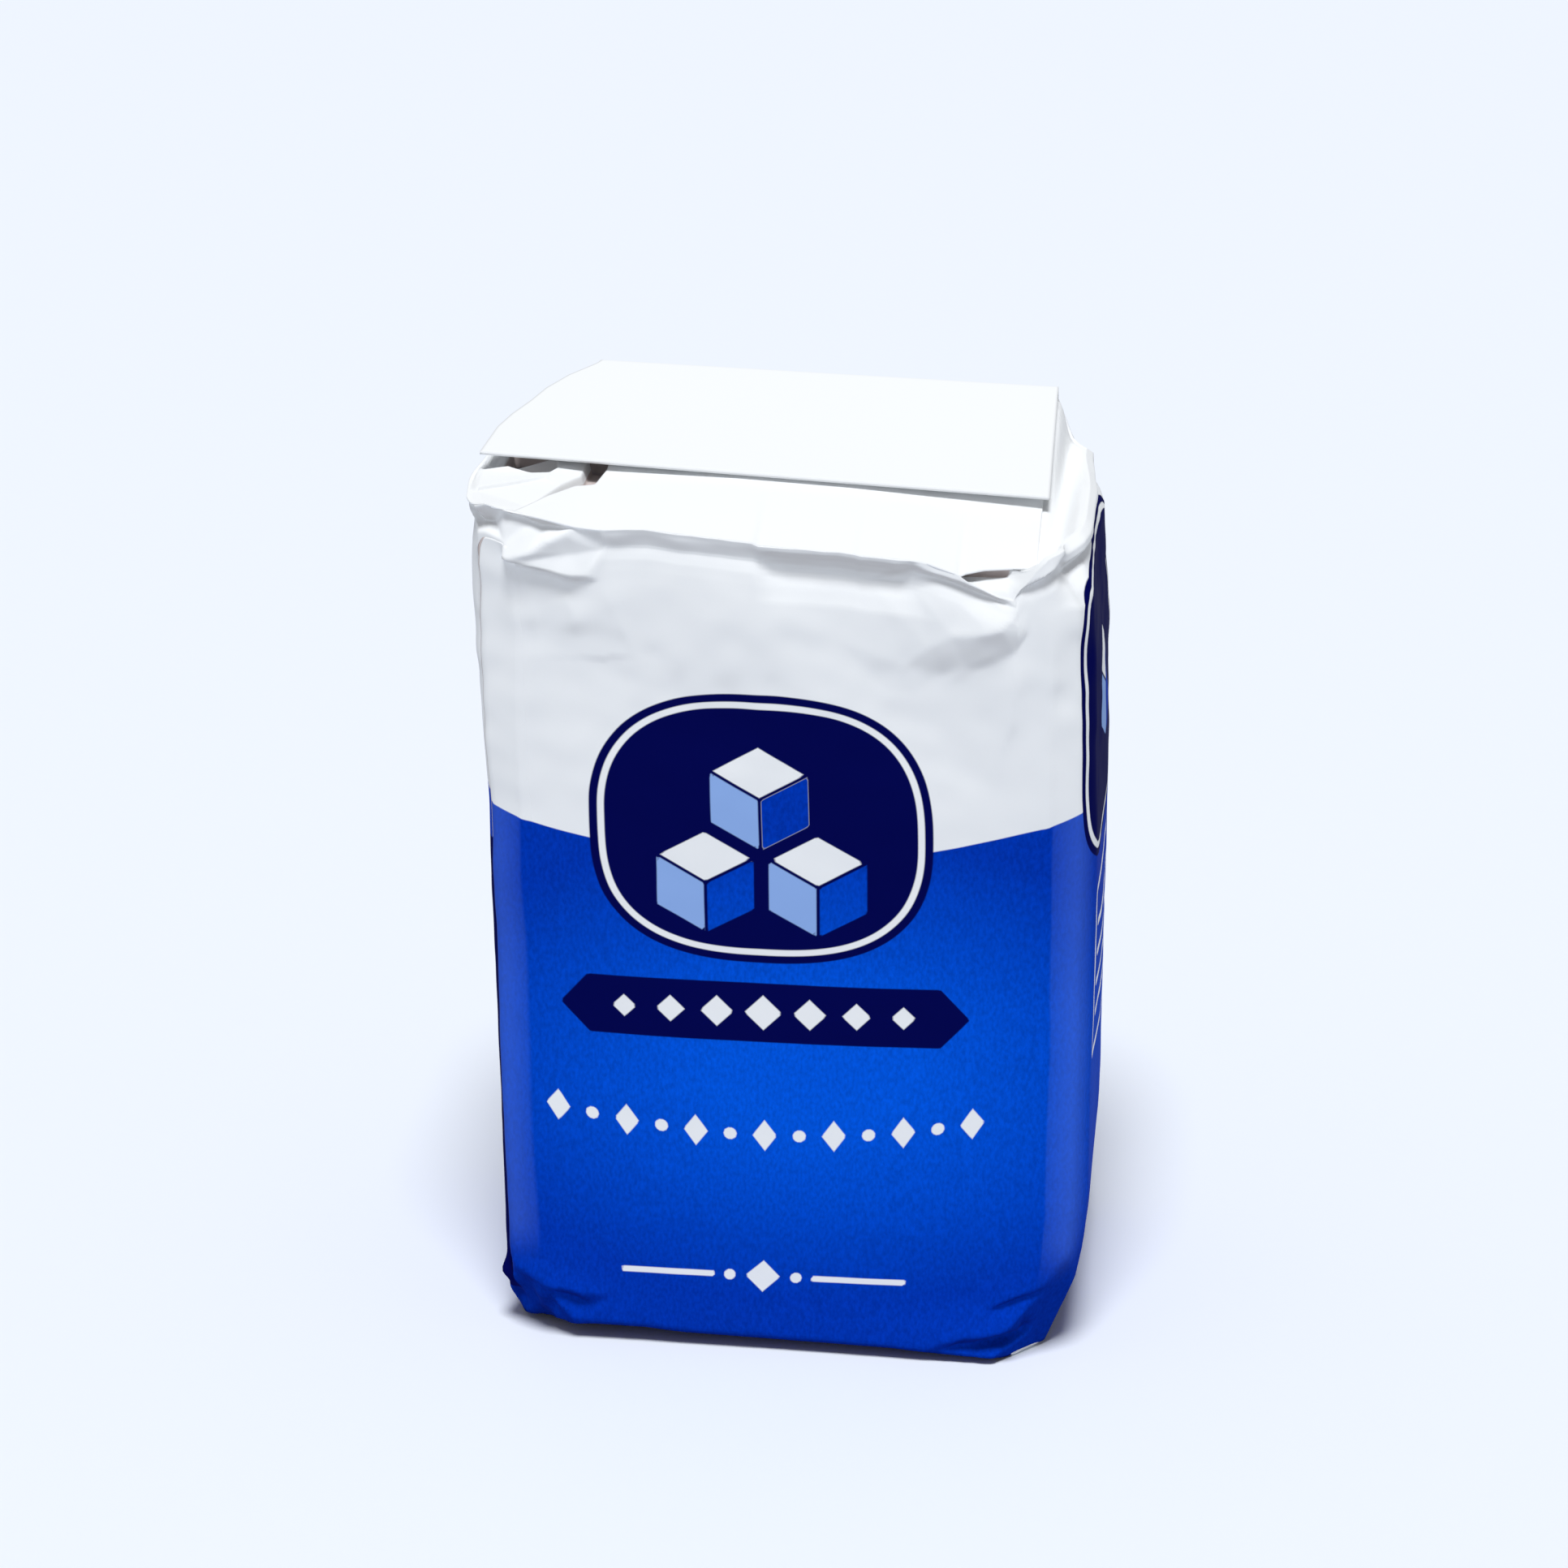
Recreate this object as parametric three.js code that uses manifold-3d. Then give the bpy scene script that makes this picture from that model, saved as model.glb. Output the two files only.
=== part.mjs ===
// A full one kilogram paper bag of granulated sugar, shut and standing upright.
// Millimetres, +Z up, front towards -Y, right-hand side towards +X.
// The origin is on the ground, in the middle of the bag's outer box.
//
// The packed bag can't be seen into, so it is one solid: a block-bottomed paper tube, swollen
// by the sugar, with tucked bottom corners, a creased top rim, side gussets pushed in at the
// top and a closing fin that is folded forwards and lies on the top.

import * as THREE from 'three';
import Module from 'manifold-3d';

// Walls: how far each side of the tube stands from the middle, [height, distance]
const LEFT_WALL = [[0, 51.2], [12, 52.8], [60, 53.4], [105, 53.9], [145, 55.0], [165, 55.6]];
const RIGHT_WALL = [[0, 52.6], [9, 54.0], [30, 54.9], [57, 55.0], [102, 54.8], [138, 53.9], [165, 52.2]];
const FRONT_WALL = [[0, 32.6], [10, 33.6], [40, 34.3], [130, 34.3], [165, 34.2]];
const BACK_WALL = [[0, 32.4], [10, 33.6], [40, 34.3], [130, 34.3], [165, 33.6]];
const WALL_CORNER = 8.0;        // rounding of the tube's upright corners
const PANEL_SWELL = 0.9;        // how far the sugar swells the front and the back
const SIDE_SWELL = 0.9;         // how far it swells the two sides
const SWELL_HEIGHTS = [[0, 0], [25, 0.6], [75, 1], [120, 0.9], [150, 0.4], [165, 0]];

// Base: the flat underside and the turn up to the walls
const BASE_INSET = 5.0;         // flat underside, in from the walls' feet
const BASE_CORNER = 13.0;
const FOOT_HEIGHT = 2.4;
const FOOT_INSET = 1.3;
// Tucked bottom corners, each a flat facet: [outward direction, a point on the facet]
const TUCKS = [
  [[-0.62, -0.40, -0.67], [-47.6, -31.0, 5.6]],
  [[0.80, -0.40, -0.44], [51.2, -29.0, 6.0]],
  [[0.68, 0.42, -0.60], [50.0, 31.0, 6.0]],
  [[-0.66, 0.42, -0.62], [-48.6, 31.0, 6.0]],
];

// Top rim: heights along the four edges of the tube's mouth
const RIM_FRONT = [[-56, 162.0], [-47, 161.2], [-32, 158.8], [-3, 157.2], [24, 155.4], [32, 153.3],
  [39.8, 148.8], [45, 152.4], [49.6, 155.0], [56, 156.0]];
const RIM_RIGHT = [[-34, 152.5], [-26, 155.0], [-17, 156.0], [0, 156.8], [34, 157.6]];
const RIM_BACK = [[-56, 160.0], [-49, 162.5], [-41, 167.3], [0, 166.6], [43.5, 164.8], [49, 159.0],
  [56, 157.6]];
const RIM_LEFT = [[-34, 161.6], [-27, 162.0], [0, 162.2], [34, 160.0]];
// The rim stands out over the wall below it, on the front, right, back and left
const RIM_LIPS = [1.5, 0.9, 0.1, 0.9];
const LIP_HEIGHT = 3.2;
const WALL_FADE = 9.0;          // height over which the wall comes back out below the lip

// Closing fin, folded forwards: heights of its upper face at its front and back edges
const FIN_FRONT_Y = -15.0;
const FIN_BACK_Y = 32.0;
const FIN_FRONT = (x) => 162.45 - 0.043 * x + 0.00035 * x * x;
const FIN_BACK = (x) => 167.4 - 0.0286 * x;
const FIN_THICK = 1.2;          // two plies and the air between them
const FIN_RIGHT_X = 44.5;
const FIN_FRONT_LEFT_X = -55.4;
const FIN_BACK_LEFT_X = -40.4;  // the rear left corner is folded away along a slant
const FIN_GAP = [[-56, 1.6], [-35, 1.5], [-10, 0.8], [10, 0.9], [45, 2.2]];
const FIN_TOUCH_Y = 6.0;        // behind this line the fin lies on the top
const FIN_BED = 0.9;            // how deep it is let into the top there

// Gussets: the furrows where the sides are pushed in below the fin, and how deep
const LEFT_FURROW = { from: [-57, -4], to: [-34, -11], half: 8.5, deep: 7.5 };
const RIGHT_FURROW = { from: [46.3, -24], to: [47.6, 26], half: 3.2, deep: 5.0 };
const SHOULDER_IN = 2.2;        // width of the fold where the back panel turns into the fin

// Mesh steps
const PANEL_STEPS = 22;
const SIDE_STEPS = 11;
const CORNER_STEPS = 6;
const WALL_LEVELS = [0.035, 0.065, 0.1, 0.15, 0.25, 0.4, 0.55, 0.7, 0.82, 0.9];
const TOP_LEVELS = [0.972, 0.94, 0.905, 0.86, 0.8, 0.7, 0.55, 0.38, 0.2];
const TOP_MIDDLE = [-2, 3];
const FIN_STEPS = [22, 8];

// Height or distance read off a list of [place, value] pairs, eased between them
function along(pairs, at) {
  if (at <= pairs[0][0]) return pairs[0][1];
  for (let i = 1; i < pairs.length; i += 1) {
    const [x0, v0] = pairs[i - 1];
    const [x1, v1] = pairs[i];
    if (at <= x1) return THREE.MathUtils.lerp(v0, v1, (at - x0) / (x1 - x0));
  }
  return pairs[pairs.length - 1][1];
}

// Closed outline round the tube at one level, counter-clockwise seen from above: four walls,
// each swollen to a shallow curve, and the rounded corners between them
function outline({ left, right, front, back, corner, swell }) {
  const centres = [
    [right - corner, -front + corner],
    [right - corner, back - corner],
    [-left + corner, back - corner],
    [-left + corner, -front + corner],
  ];
  const points = [];
  for (let wall = 0; wall < 4; wall += 1) {
    const facing = (wall - 1) * Math.PI / 2;
    const out = [Math.cos(facing), Math.sin(facing)];
    const start = centres[(wall + 3) % 4];
    const end = centres[wall];
    const steps = wall % 2 ? SIDE_STEPS : PANEL_STEPS;
    const amount = swell * (wall % 2 ? SIDE_SWELL : PANEL_SWELL);
    for (let k = 0; k < steps; k += 1) {
      const f = k / steps;
      const reach = corner + amount * (1 - (2 * f - 1) ** 2);
      points.push([
        start[0] + (end[0] - start[0]) * f + out[0] * reach,
        start[1] + (end[1] - start[1]) * f + out[1] * reach,
      ]);
    }
    for (let k = 0; k < CORNER_STEPS; k += 1) {
      const turn = facing + (Math.PI / 2) * (k / CORNER_STEPS);
      points.push([end[0] + corner * Math.cos(turn), end[1] + corner * Math.sin(turn)]);
    }
  }
  return points;
}

// Outline of the walls at a height, drawn in by an inset
function wallOutline(height, inset, corner) {
  return outline({
    left: along(LEFT_WALL, height) - inset,
    right: along(RIGHT_WALL, height) - inset,
    front: along(FRONT_WALL, height) - inset,
    back: along(BACK_WALL, height) - inset,
    corner,
    swell: along(SWELL_HEIGHTS, height),
  });
}

// Distances of a point from the edges of the mouth: front, right, back, left
const MOUTH_HEIGHT = 165;
const MOUTH = [FRONT_WALL, RIGHT_WALL, BACK_WALL, LEFT_WALL].map((wall) => along(wall, MOUTH_HEIGHT));

function edgeGaps(x, y) {
  return [MOUTH[0] + y, MOUTH[1] - x, MOUTH[2] - y, MOUTH[3] + x];
}

// A value for each edge of the mouth, blended at the corners
function blendEdges(x, y, values) {
  const gaps = edgeGaps(x, y);
  const weights = gaps.map((gap) => 1 / (0.4 + Math.max(gap, 0)) ** 2);
  const total = weights.reduce((a, b) => a + b);
  return values.reduce((sum, value, i) => sum + value * weights[i], 0) / total;
}

// Height of the rim, and how far it stands out, at a point of its outline
function rimHeight(x, y) {
  return blendEdges(x, y, [along(RIM_FRONT, x), along(RIM_RIGHT, y), along(RIM_BACK, x), along(RIM_LEFT, y)]);
}

function lipDepth(x, y) {
  return blendEdges(x, y, RIM_LIPS);
}

// Upper face of the folded fin
function finHeight(x, y) {
  return THREE.MathUtils.mapLinear(y, FIN_FRONT_Y, FIN_BACK_Y, FIN_FRONT(x), FIN_BACK(x));
}

// How far a point lies inside a furrow: 1 on its line, 0 at its sides
function furrow({ from, to, half }, x, y) {
  const dx = to[0] - from[0];
  const dy = to[1] - from[1];
  const t = THREE.MathUtils.clamp(((x - from[0]) * dx + (y - from[1]) * dy) / (dx * dx + dy * dy), 0, 1);
  const distance = Math.hypot(x - from[0] - t * dx, y - from[1] - t * dy);
  return Math.max(0, 1 - distance / half);
}

// Height of the top inside the rim: a strip that climbs from the front rim to the fin, the bed
// below the fin, the furrows of the gussets and the round shoulder at the back
function topHeight(x, y, rim, inside) {
  const { smoothstep, lerp } = THREE.MathUtils;
  const bedFront = FIN_FRONT(x) - FIN_THICK - along(FIN_GAP, x);
  let bed;
  if (y < FIN_FRONT_Y) {
    const rise = (y + MOUTH[0]) / (MOUTH[0] + FIN_FRONT_Y);
    bed = lerp(along(RIM_FRONT, THREE.MathUtils.clamp(x, -47, 26)), bedFront, rise);
  } else {
    const gap = along(FIN_GAP, x) * (1 - smoothstep(y, FIN_FRONT_Y, FIN_TOUCH_Y));
    const let_in = FIN_BED * smoothstep(y, FIN_FRONT_Y, FIN_TOUCH_Y);
    bed = finHeight(x, y) - FIN_THICK - gap + let_in;
  }
  const reach = lerp(3.5, SHOULDER_IN, smoothstep(y, -30, 20));
  const slant = lerp(FIN_FRONT_LEFT_X, FIN_BACK_LEFT_X, (y - FIN_FRONT_Y) / (FIN_BACK_Y - FIN_FRONT_Y));
  const left_edge = smoothstep(x, -MOUTH[3], Math.max(slant, -53));
  const blend = smoothstep(inside, 0, reach) * left_edge;
  let height = lerp(rim, bed, y < -20 && x < 26 ? Math.max(blend, smoothstep(inside, 0, 1.5)) : blend);
  height -= LEFT_FURROW.deep * furrow(LEFT_FURROW, x, y) * smoothstep(inside, 0.5, 4);
  height -= RIGHT_FURROW.deep * furrow(RIGHT_FURROW, x, y) * smoothstep(inside, 0.5, 4);
  return height;
}

// Flattens whatever stands out beyond a facet onto it
function pressFlat(point, [direction, on]) {
  const normal = new THREE.Vector3(...direction).normalize();
  const beyond = normal.dot(point) - normal.dot(new THREE.Vector3(...on));
  if (beyond > 0) point.addScaledVector(normal, -beyond);
  return point;
}

// Closed skin over a stack of rings with a point at each end
function skin(bottom, rings, top) {
  const vertices = [bottom.x, bottom.y, bottom.z];
  for (const ring of rings) {
    for (const p of ring) vertices.push(p.x, p.y, p.z);
  }
  vertices.push(top.x, top.y, top.z);
  const count = rings[0].length;
  const last = 1 + rings.length * count;
  const faces = [];
  for (let k = 0; k < count; k += 1) {
    const next = (k + 1) % count;
    faces.push(0, 1 + next, 1 + k);
    for (let r = 0; r + 1 < rings.length; r += 1) {
      const a = 1 + r * count;
      const b = a + count;
      faces.push(a + k, a + next, b + next);
      faces.push(a + k, b + next, b + k);
    }
    const end = 1 + (rings.length - 1) * count;
    faces.push(last, end + k, end + next);
  }
  return { vertices, faces };
}

// The swollen bag below the fin
function bagBody() {
  const rings = [];
  const flat = wallOutline(0, BASE_INSET, BASE_CORNER);
  rings.push(flat.map(([x, y]) => new THREE.Vector3(x, y, 0)));
  const foot = wallOutline(0, FOOT_INSET, 0.5 * (BASE_CORNER + WALL_CORNER));
  rings.push(foot.map(([x, y]) => new THREE.Vector3(x, y, FOOT_HEIGHT * 0.35)));
  const rimLine = wallOutline(MOUTH_HEIGHT, 0, WALL_CORNER);
  const rims = rimLine.map(([x, y]) => rimHeight(x, y));
  const lips = rimLine.map(([x, y]) => lipDepth(x, y));
  for (const level of WALL_LEVELS) {
    const wall = wallOutline(level * 160, 0, WALL_CORNER);
    rings.push(wall.map(([x, y], k) => new THREE.Vector3(x, y, level * (rims[k] - WALL_FADE))));
  }
  const fade = wallOutline(MOUTH_HEIGHT, 0.3, WALL_CORNER);
  rings.push(fade.map(([x, y], k) => new THREE.Vector3(x, y, rims[k] - WALL_FADE * 0.75)));
  const lip = wallOutline(MOUTH_HEIGHT, 1, WALL_CORNER);
  rings.push(lip.map(([x, y], k) => new THREE.Vector3(
    THREE.MathUtils.lerp(rimLine[k][0], x, lips[k]),
    THREE.MathUtils.lerp(rimLine[k][1], y, lips[k]),
    rims[k] - LIP_HEIGHT,
  )));
  rings.push(rimLine.map(([x, y], k) => new THREE.Vector3(x, y, rims[k])));
  const [mx, my] = TOP_MIDDLE;
  for (const level of TOP_LEVELS) {
    rings.push(rimLine.map(([rx, ry], k) => {
      const x = mx + (rx - mx) * level;
      const y = my + (ry - my) * level;
      const inside = Math.min(...edgeGaps(x, y));
      return new THREE.Vector3(x, y, topHeight(x, y, rims[k], inside));
    }));
  }
  for (const ring of rings.slice(1)) {
    for (const point of ring) {
      for (const tuck of TUCKS) pressFlat(point, tuck);
      point.z = Math.max(point.z, 0.2);
    }
  }
  const top = new THREE.Vector3(mx, my, topHeight(mx, my, 160, 30));
  return skin(new THREE.Vector3(0, 0, 0), rings, top);
}

// The closing fin: a thin plate over a four-sided outline, bent to its upper face's heights
function closingFin() {
  const [nx, ny] = FIN_STEPS;
  const vertices = [];
  const faces = [];
  for (const drop of [0, FIN_THICK]) {
    for (let j = 0; j <= ny; j += 1) {
      const y = THREE.MathUtils.lerp(FIN_FRONT_Y, FIN_BACK_Y, j / ny);
      const left = THREE.MathUtils.lerp(FIN_FRONT_LEFT_X, FIN_BACK_LEFT_X, j / ny);
      for (let i = 0; i <= nx; i += 1) {
        const x = THREE.MathUtils.lerp(left, FIN_RIGHT_X, i / nx);
        vertices.push(x, y, finHeight(x, y) - drop);
      }
    }
  }
  const under = (nx + 1) * (ny + 1);
  const at = (i, j) => j * (nx + 1) + i;
  for (let j = 0; j < ny; j += 1) {
    for (let i = 0; i < nx; i += 1) {
      const [a, b, c, d] = [at(i, j), at(i + 1, j), at(i + 1, j + 1), at(i, j + 1)];
      faces.push(a, b, c, a, c, d);
      faces.push(under + a, under + c, under + b, under + a, under + d, under + c);
    }
  }
  const edge = [];
  for (let i = 0; i < nx; i += 1) edge.push(at(i, 0));
  for (let j = 0; j < ny; j += 1) edge.push(at(nx, j));
  for (let i = nx; i > 0; i -= 1) edge.push(at(i, ny));
  for (let j = ny; j > 0; j -= 1) edge.push(at(0, j));
  edge.forEach((p, k) => {
    const q = edge[(k + 1) % edge.length];
    faces.push(p, under + p, under + q, p, under + q, q);
  });
  return { vertices, faces };
}

const wasm = await Module();
wasm.setup();

function solid({ vertices, faces }) {
  return new wasm.Manifold(new wasm.Mesh({
    numProp: 3,
    vertProperties: new Float32Array(vertices),
    triVerts: new Uint32Array(faces),
  }));
}

function toGeometry(body) {
  const mesh = body.getMesh();
  const geometry = new THREE.BufferGeometry();
  geometry.setAttribute('position', new THREE.BufferAttribute(new Float32Array(mesh.vertProperties), 3));
  geometry.setIndex(new THREE.BufferAttribute(new Uint32Array(mesh.triVerts), 1));
  geometry.computeVertexNormals();
  return geometry;
}

const paper = new THREE.MeshStandardMaterial({ color: '#e9edf2', roughness: 0.55, metalness: 0 });
const bag = new THREE.Mesh(toGeometry(solid(bagBody()).add(solid(closingFin()))), paper);
bag.name = 'paper_bag';

const sugarBag = new THREE.Group();
sugarBag.add(bag);

export default sugarBag;
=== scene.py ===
"""Dresses a full, shut paper bag of sugar: a creased, printed paper tube with a tucked top and bottom.

The file is laid out as a Blender add-on and run as a script. Its sidebar panel lists the pieces: the
swollen bag, the edge of its glued seam, the front roof strip, the plies of the left gusset, the closing
fin and the stage. All sizes are in millimetres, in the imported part's frame: +Z up, printed front towards
-Y. Places round the paper are measured from the middle of the front, to the right.
"""

import math

import bpy
import numpy as np
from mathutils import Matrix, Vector
from mathutils.geometry import delaunay_2d_cdt


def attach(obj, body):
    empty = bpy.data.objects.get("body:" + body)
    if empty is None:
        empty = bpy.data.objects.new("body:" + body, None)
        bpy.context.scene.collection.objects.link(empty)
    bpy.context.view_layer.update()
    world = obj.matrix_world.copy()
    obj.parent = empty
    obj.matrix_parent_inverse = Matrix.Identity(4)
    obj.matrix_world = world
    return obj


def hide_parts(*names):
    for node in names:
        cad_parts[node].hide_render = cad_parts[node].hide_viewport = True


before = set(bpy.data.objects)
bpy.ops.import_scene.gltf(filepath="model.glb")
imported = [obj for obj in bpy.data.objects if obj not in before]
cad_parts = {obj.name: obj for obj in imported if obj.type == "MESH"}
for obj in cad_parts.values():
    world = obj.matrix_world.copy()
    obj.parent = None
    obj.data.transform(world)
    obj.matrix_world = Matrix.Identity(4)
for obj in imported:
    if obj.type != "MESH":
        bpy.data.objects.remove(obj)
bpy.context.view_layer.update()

bl_info = {
    "name": "Paper Bag of Sugar",
    "version": (1, 0, 0),
    "blender": (4, 5, 0),
    "location": "View3D > Sidebar > Sugar Bag",
    "description": "Builds a creased, printed paper bag of sugar and its studio",
    "category": "Add Mesh",
}

MM = 0.001
NODE = "paper_bag"

# Walls: distance of each side from the middle of the bag, by height
LEFT_WALL = [(0, 50.4), (8, 51.8), (14, 52.4), (60, 53.3), (105, 53.9), (145, 55.1), (165, 56.0)]
RIGHT_WALL = [(0, 50.4), (9, 52.4), (20, 54.2), (32, 55.0), (57, 55.0), (102, 54.8), (138, 53.9),
              (165, 52.2)]
FRONT_WALL = [(0, 35.0), (4, 35.4), (10, 35.6), (25, 35.3), (45, 34.9), (90, 34.4), (130, 34.3),
              (165, 34.2)]
BACK_WALL = [(0, 32.4), (10, 33.6), (40, 34.3), (130, 34.3), (165, 33.6)]
# Swell of the front, right, back and left panels, and the share of it by height
PANEL_SWELL = (2.2, 0.9, 1.6, 0.9)
SWELL = [(0, 0.0), (25, 0.6), (75, 1.0), (120, 0.9), (150, 0.4), (165, 0.0)]
# Radius of the upright corners, and how far each is pressed towards two flat facets
WALL_CORNER = 8.0
CORNER_FACET = 0.75
HALF_HEIGHT = 80.0
MOUTH_HEIGHT = 165.0

# Columns of the mesh along the front, right, back and left, and round the corner after each
WALL_STEPS = (154, 26, 44, 26)
CORNER_STEPS = (14, 8, 8, 24)
# Rows of the mesh, from the middle of the base to the middle of the top
BASE_ROWS = 8
BASE_SCALE = np.linspace(0.08, 1.0, BASE_ROWS)
WALL_LEVELS = np.concatenate([np.linspace(0, 0.13, 31)[1:], np.linspace(0.13, 1, 186)[1:]])
LIP_ROWS = 38
POCKET_ROWS = 14
TOP_SCALE = np.concatenate([np.linspace(0.99, 0.72, 24), np.linspace(0.70, 0.06, 6)])
# Rows above the base in which the bottom corners are tucked
HEEL_ROWS = 60

# Foot, from the flat underside up to the bottom edge: (inset, share of the edge's lift)
FOOT = [(9.0, 0.0), (6.5, 0.12), (4.5, 0.5), (2.4, 0.8), (0.7, 0.92), (0.1, 0.98)]
BASE_CORNER = 13.0
# Lift of the bottom edge by place across the front, and on the other sides
EDGE_LIFT = [(-50, 3.4), (-46, 3.2), (-40, 3.7), (-30, 3.6), (-22, 3.0), (0, 2.7), (20, 2.6), (31, 1.9),
             (35, 1.7), (38.4, 1.6), (42.5, 1.3), (45, 0.9), (48, 0.6), (52, 0.5)]
SIDE_LIFT = 1.0
BACK_LIFT = 1.5
# How far the foot of the front comes forward, by place across, and the height over which that dies out
FRONT_FOOT = [(-46, 0.2), (-30, 0.8), (-22, 0.9), (0, 1.4), (20, 2.3), (31, 2.7), (36, 2.6), (40, 1.9),
              (43.5, 0.6), (47, 0)]
FRONT_FOOT_HEIGHT = 14.0
# Lowest that any paper above the base comes, and the share by which the front right corner is filled out
FLOOR_GAP = 0.02
FIRM_CORNER = 0.65
# Tucked bottom corners, each pressed flat: (outward direction, point on the facet)
TUCKS = [
    ((-0.50, -0.75, -0.42), (-42.3, -35.4, 7.7)),
    ((0.66, -0.69, -0.30), (44.2, -35.4, 9.2)),
    ((0.92, -0.12, -0.36), (51.0, -20.0, 6.0)),
    ((0.68, 0.42, -0.60), (50.0, 31.0, 6.0)),
    ((-0.66, 0.42, -0.62), (-48.6, 31.0, 6.0)),
]

# Rim of the mouth: height of its crest along the front, right, back and left
RIM_FRONT = [(-56, 162.3), (-52, 162.9), (-45.3, 161.5), (-42.1, 161.1), (-36.1, 159.7), (-31.7, 159.3),
             (-24, 159.7), (-16, 158.9), (-5.4, 158.0), (-4.4, 157.5), (12, 156.6), (13, 156.3), (23, 155.7),
             (25, 155.2), (27.8, 154.2), (29.6, 153.6), (31.6, 152.2), (34.2, 150.8), (36.8, 149.5),
             (39.5, 148.8), (40.2, 150.4), (41.3, 152.1), (42.2, 153.2), (43.2, 154.6), (45.3, 156.6),
             (49.6, 158.3), (56, 158.8)]
RIM_RIGHT = [(-34, 155.5), (-26, 158.2), (-17, 159.0), (0, 159.0), (20, 158.4), (30, 156.8), (34, 155.6)]
RIM_BACK = [(-56, 158.8), (-49, 160.4), (-44, 163.8), (-40, 166.6), (0, 166.0), (43, 164.4), (44.6, 163.0),
            (47, 159.2), (48.6, 157.0), (53, 155.6)]
RIM_LEFT = [(-34, 161.6), (-27, 162.0), (0, 162.2), (20, 161.0), (34, 158.8)]
# Profiles of the rim, from the wall up to the crest: (drop below the crest, inset)
RIM_DEPTH = 10.0
LIP_FRONT_LEFT = [(10, 0), (7.5, 0.05), (5.6, 0.2), (4.5, 0.45), (3.7, 0.65), (3.1, 0.55), (1.2, -0.25),
                  (0, -0.6)]
LIP_FRONT_RIGHT = [(10, 0), (7.4, 0.7), (5.6, 1.4), (4.6, 1.5), (3.4, 1.2), (2.0, 0.4), (0.8, -0.5),
                   (0, -0.7)]
LIP_RIGHT = [(10, 0.0), (8, 0.2), (6, 0.6), (4.5, 1.3), (3.9, 1.2), (2.8, -0.1), (1.3, -0.2), (0, 1.0)]
LIP_BACK = [(10, 0), (8, 0), (6, 0.1), (4.5, 0.15), (3.2, 0.15), (2, 0.1), (1, 0.1), (0, 0.4)]
LIP_LEFT = [(10, 0), (8, 0.1), (6, 0.4), (4.5, 0.7), (3.6, 0.6), (2.2, -0.1), (1, -0.1), (0, 0.7)]
# How far the rim draws in at the front right corner and along the back of the right side
CORNER_CUT = 2.2
BACK_CUT = 1.6
# Where the front's two profiles meet, and where its rim is left plain for the pleat and the pinched end
LIP_CHANGE = (-6.0, -2.0)
PLEAT_END = (-30.4, -32.4)
PINCH_SPAN = ((20, 27), (46, 52))

# Pinched pocket at the right end of the front rim: height of its upper lip by place across, and its
# profile from the lower lip to the upper one, (share of the way, inset), with the slit part way up
POCKET_TOP = [(29.6, 153.6), (31.2, 153.5), (34.4, 153.7), (38.8, 153.7), (43, 153.9), (48, 154.6)]
POCKET = [(0.0, -0.3), (0.14, -0.1), (0.32, 0.3), (0.44, 1.3), (0.56, 2.6), (0.58, 3.5), (0.9, 3.8),
          (0.95, 3.5), (1.0, 3.4)]
POCKET_SPAN = ((24, 30), (42.4, 43.6))
SLIT_SHARE = 0.56
SLIT_DROP = 1.9
LIP_ROLL = 0.3

# Top: its middle, the drop below the gusset plies, and the valley between the fin and the right rim
TOP_MIDDLE = (-2.0, 3.0)
PLY_DROP = 12.0
PLY_MARGIN = 3.4
RIGHT_VALLEY = [(-34, 154.4), (-25, 155.8), (-15, 157.0), (0, 157.6), (24, 157.6), (34, 156.0)]
VALLEY_X = 46.4

# Closing fin, folded forwards over the top: its edges by depth, and the gap in front of it by place across
FIN_FRONT_Y = -15.0
FIN_BACK_Y = 32.0
FIN_THICK = 0.55
FIN_RIGHT = [(-15, 44.6), (32, 43.8)]
FIN_LEFT = [(-15, -55.7), (-3, -54.5), (3.5, -52.9), (10.2, -50.6), (16.9, -48.7), (23.8, -45.6),
            (30.4, -41.3), (34, -40)]
FIN_GAP = [(-56, 1.6), (-35, 1.5), (-10, 0.8), (10, 0.9), (45, 2.2)]
FIN_GRID = (70, 180)
# Share of the fin's length that is flat, then the depth and drop of its rounded fold at the back
FIN_FLAT = 0.88
FIN_FOLD = (1.8, 3.0)

# Roof strip: distance of its front edge by place across, its left edge by depth, and its other ends
STRIP_FRONT = [(-60, 33.4), (-46.5, 33.8), (-42, 34.7), (29.6, 34.7), (31.2, 34.2), (34.4, 32.5),
               (38.8, 31.5), (43, 31.3), (45, 32.0)]
STRIP_LEFT = [(-34.2, -47.0), (-30, -44.5), (-26.8, -42.2), (-21.4, -38.0), (-20, -34.6), (-14, -33.3),
              (-4, -33.0)]
STRIP_RIGHT = 43.4
STRIP_ENDS = (-34.7, -9.0)
STRIP_BOW = 0.35
STRIP_GRID = (70, 260)
# Thickness of a folded ply, more than a real sheet's so that its cut edge shows
PAPER_THICK = 0.25

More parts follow.
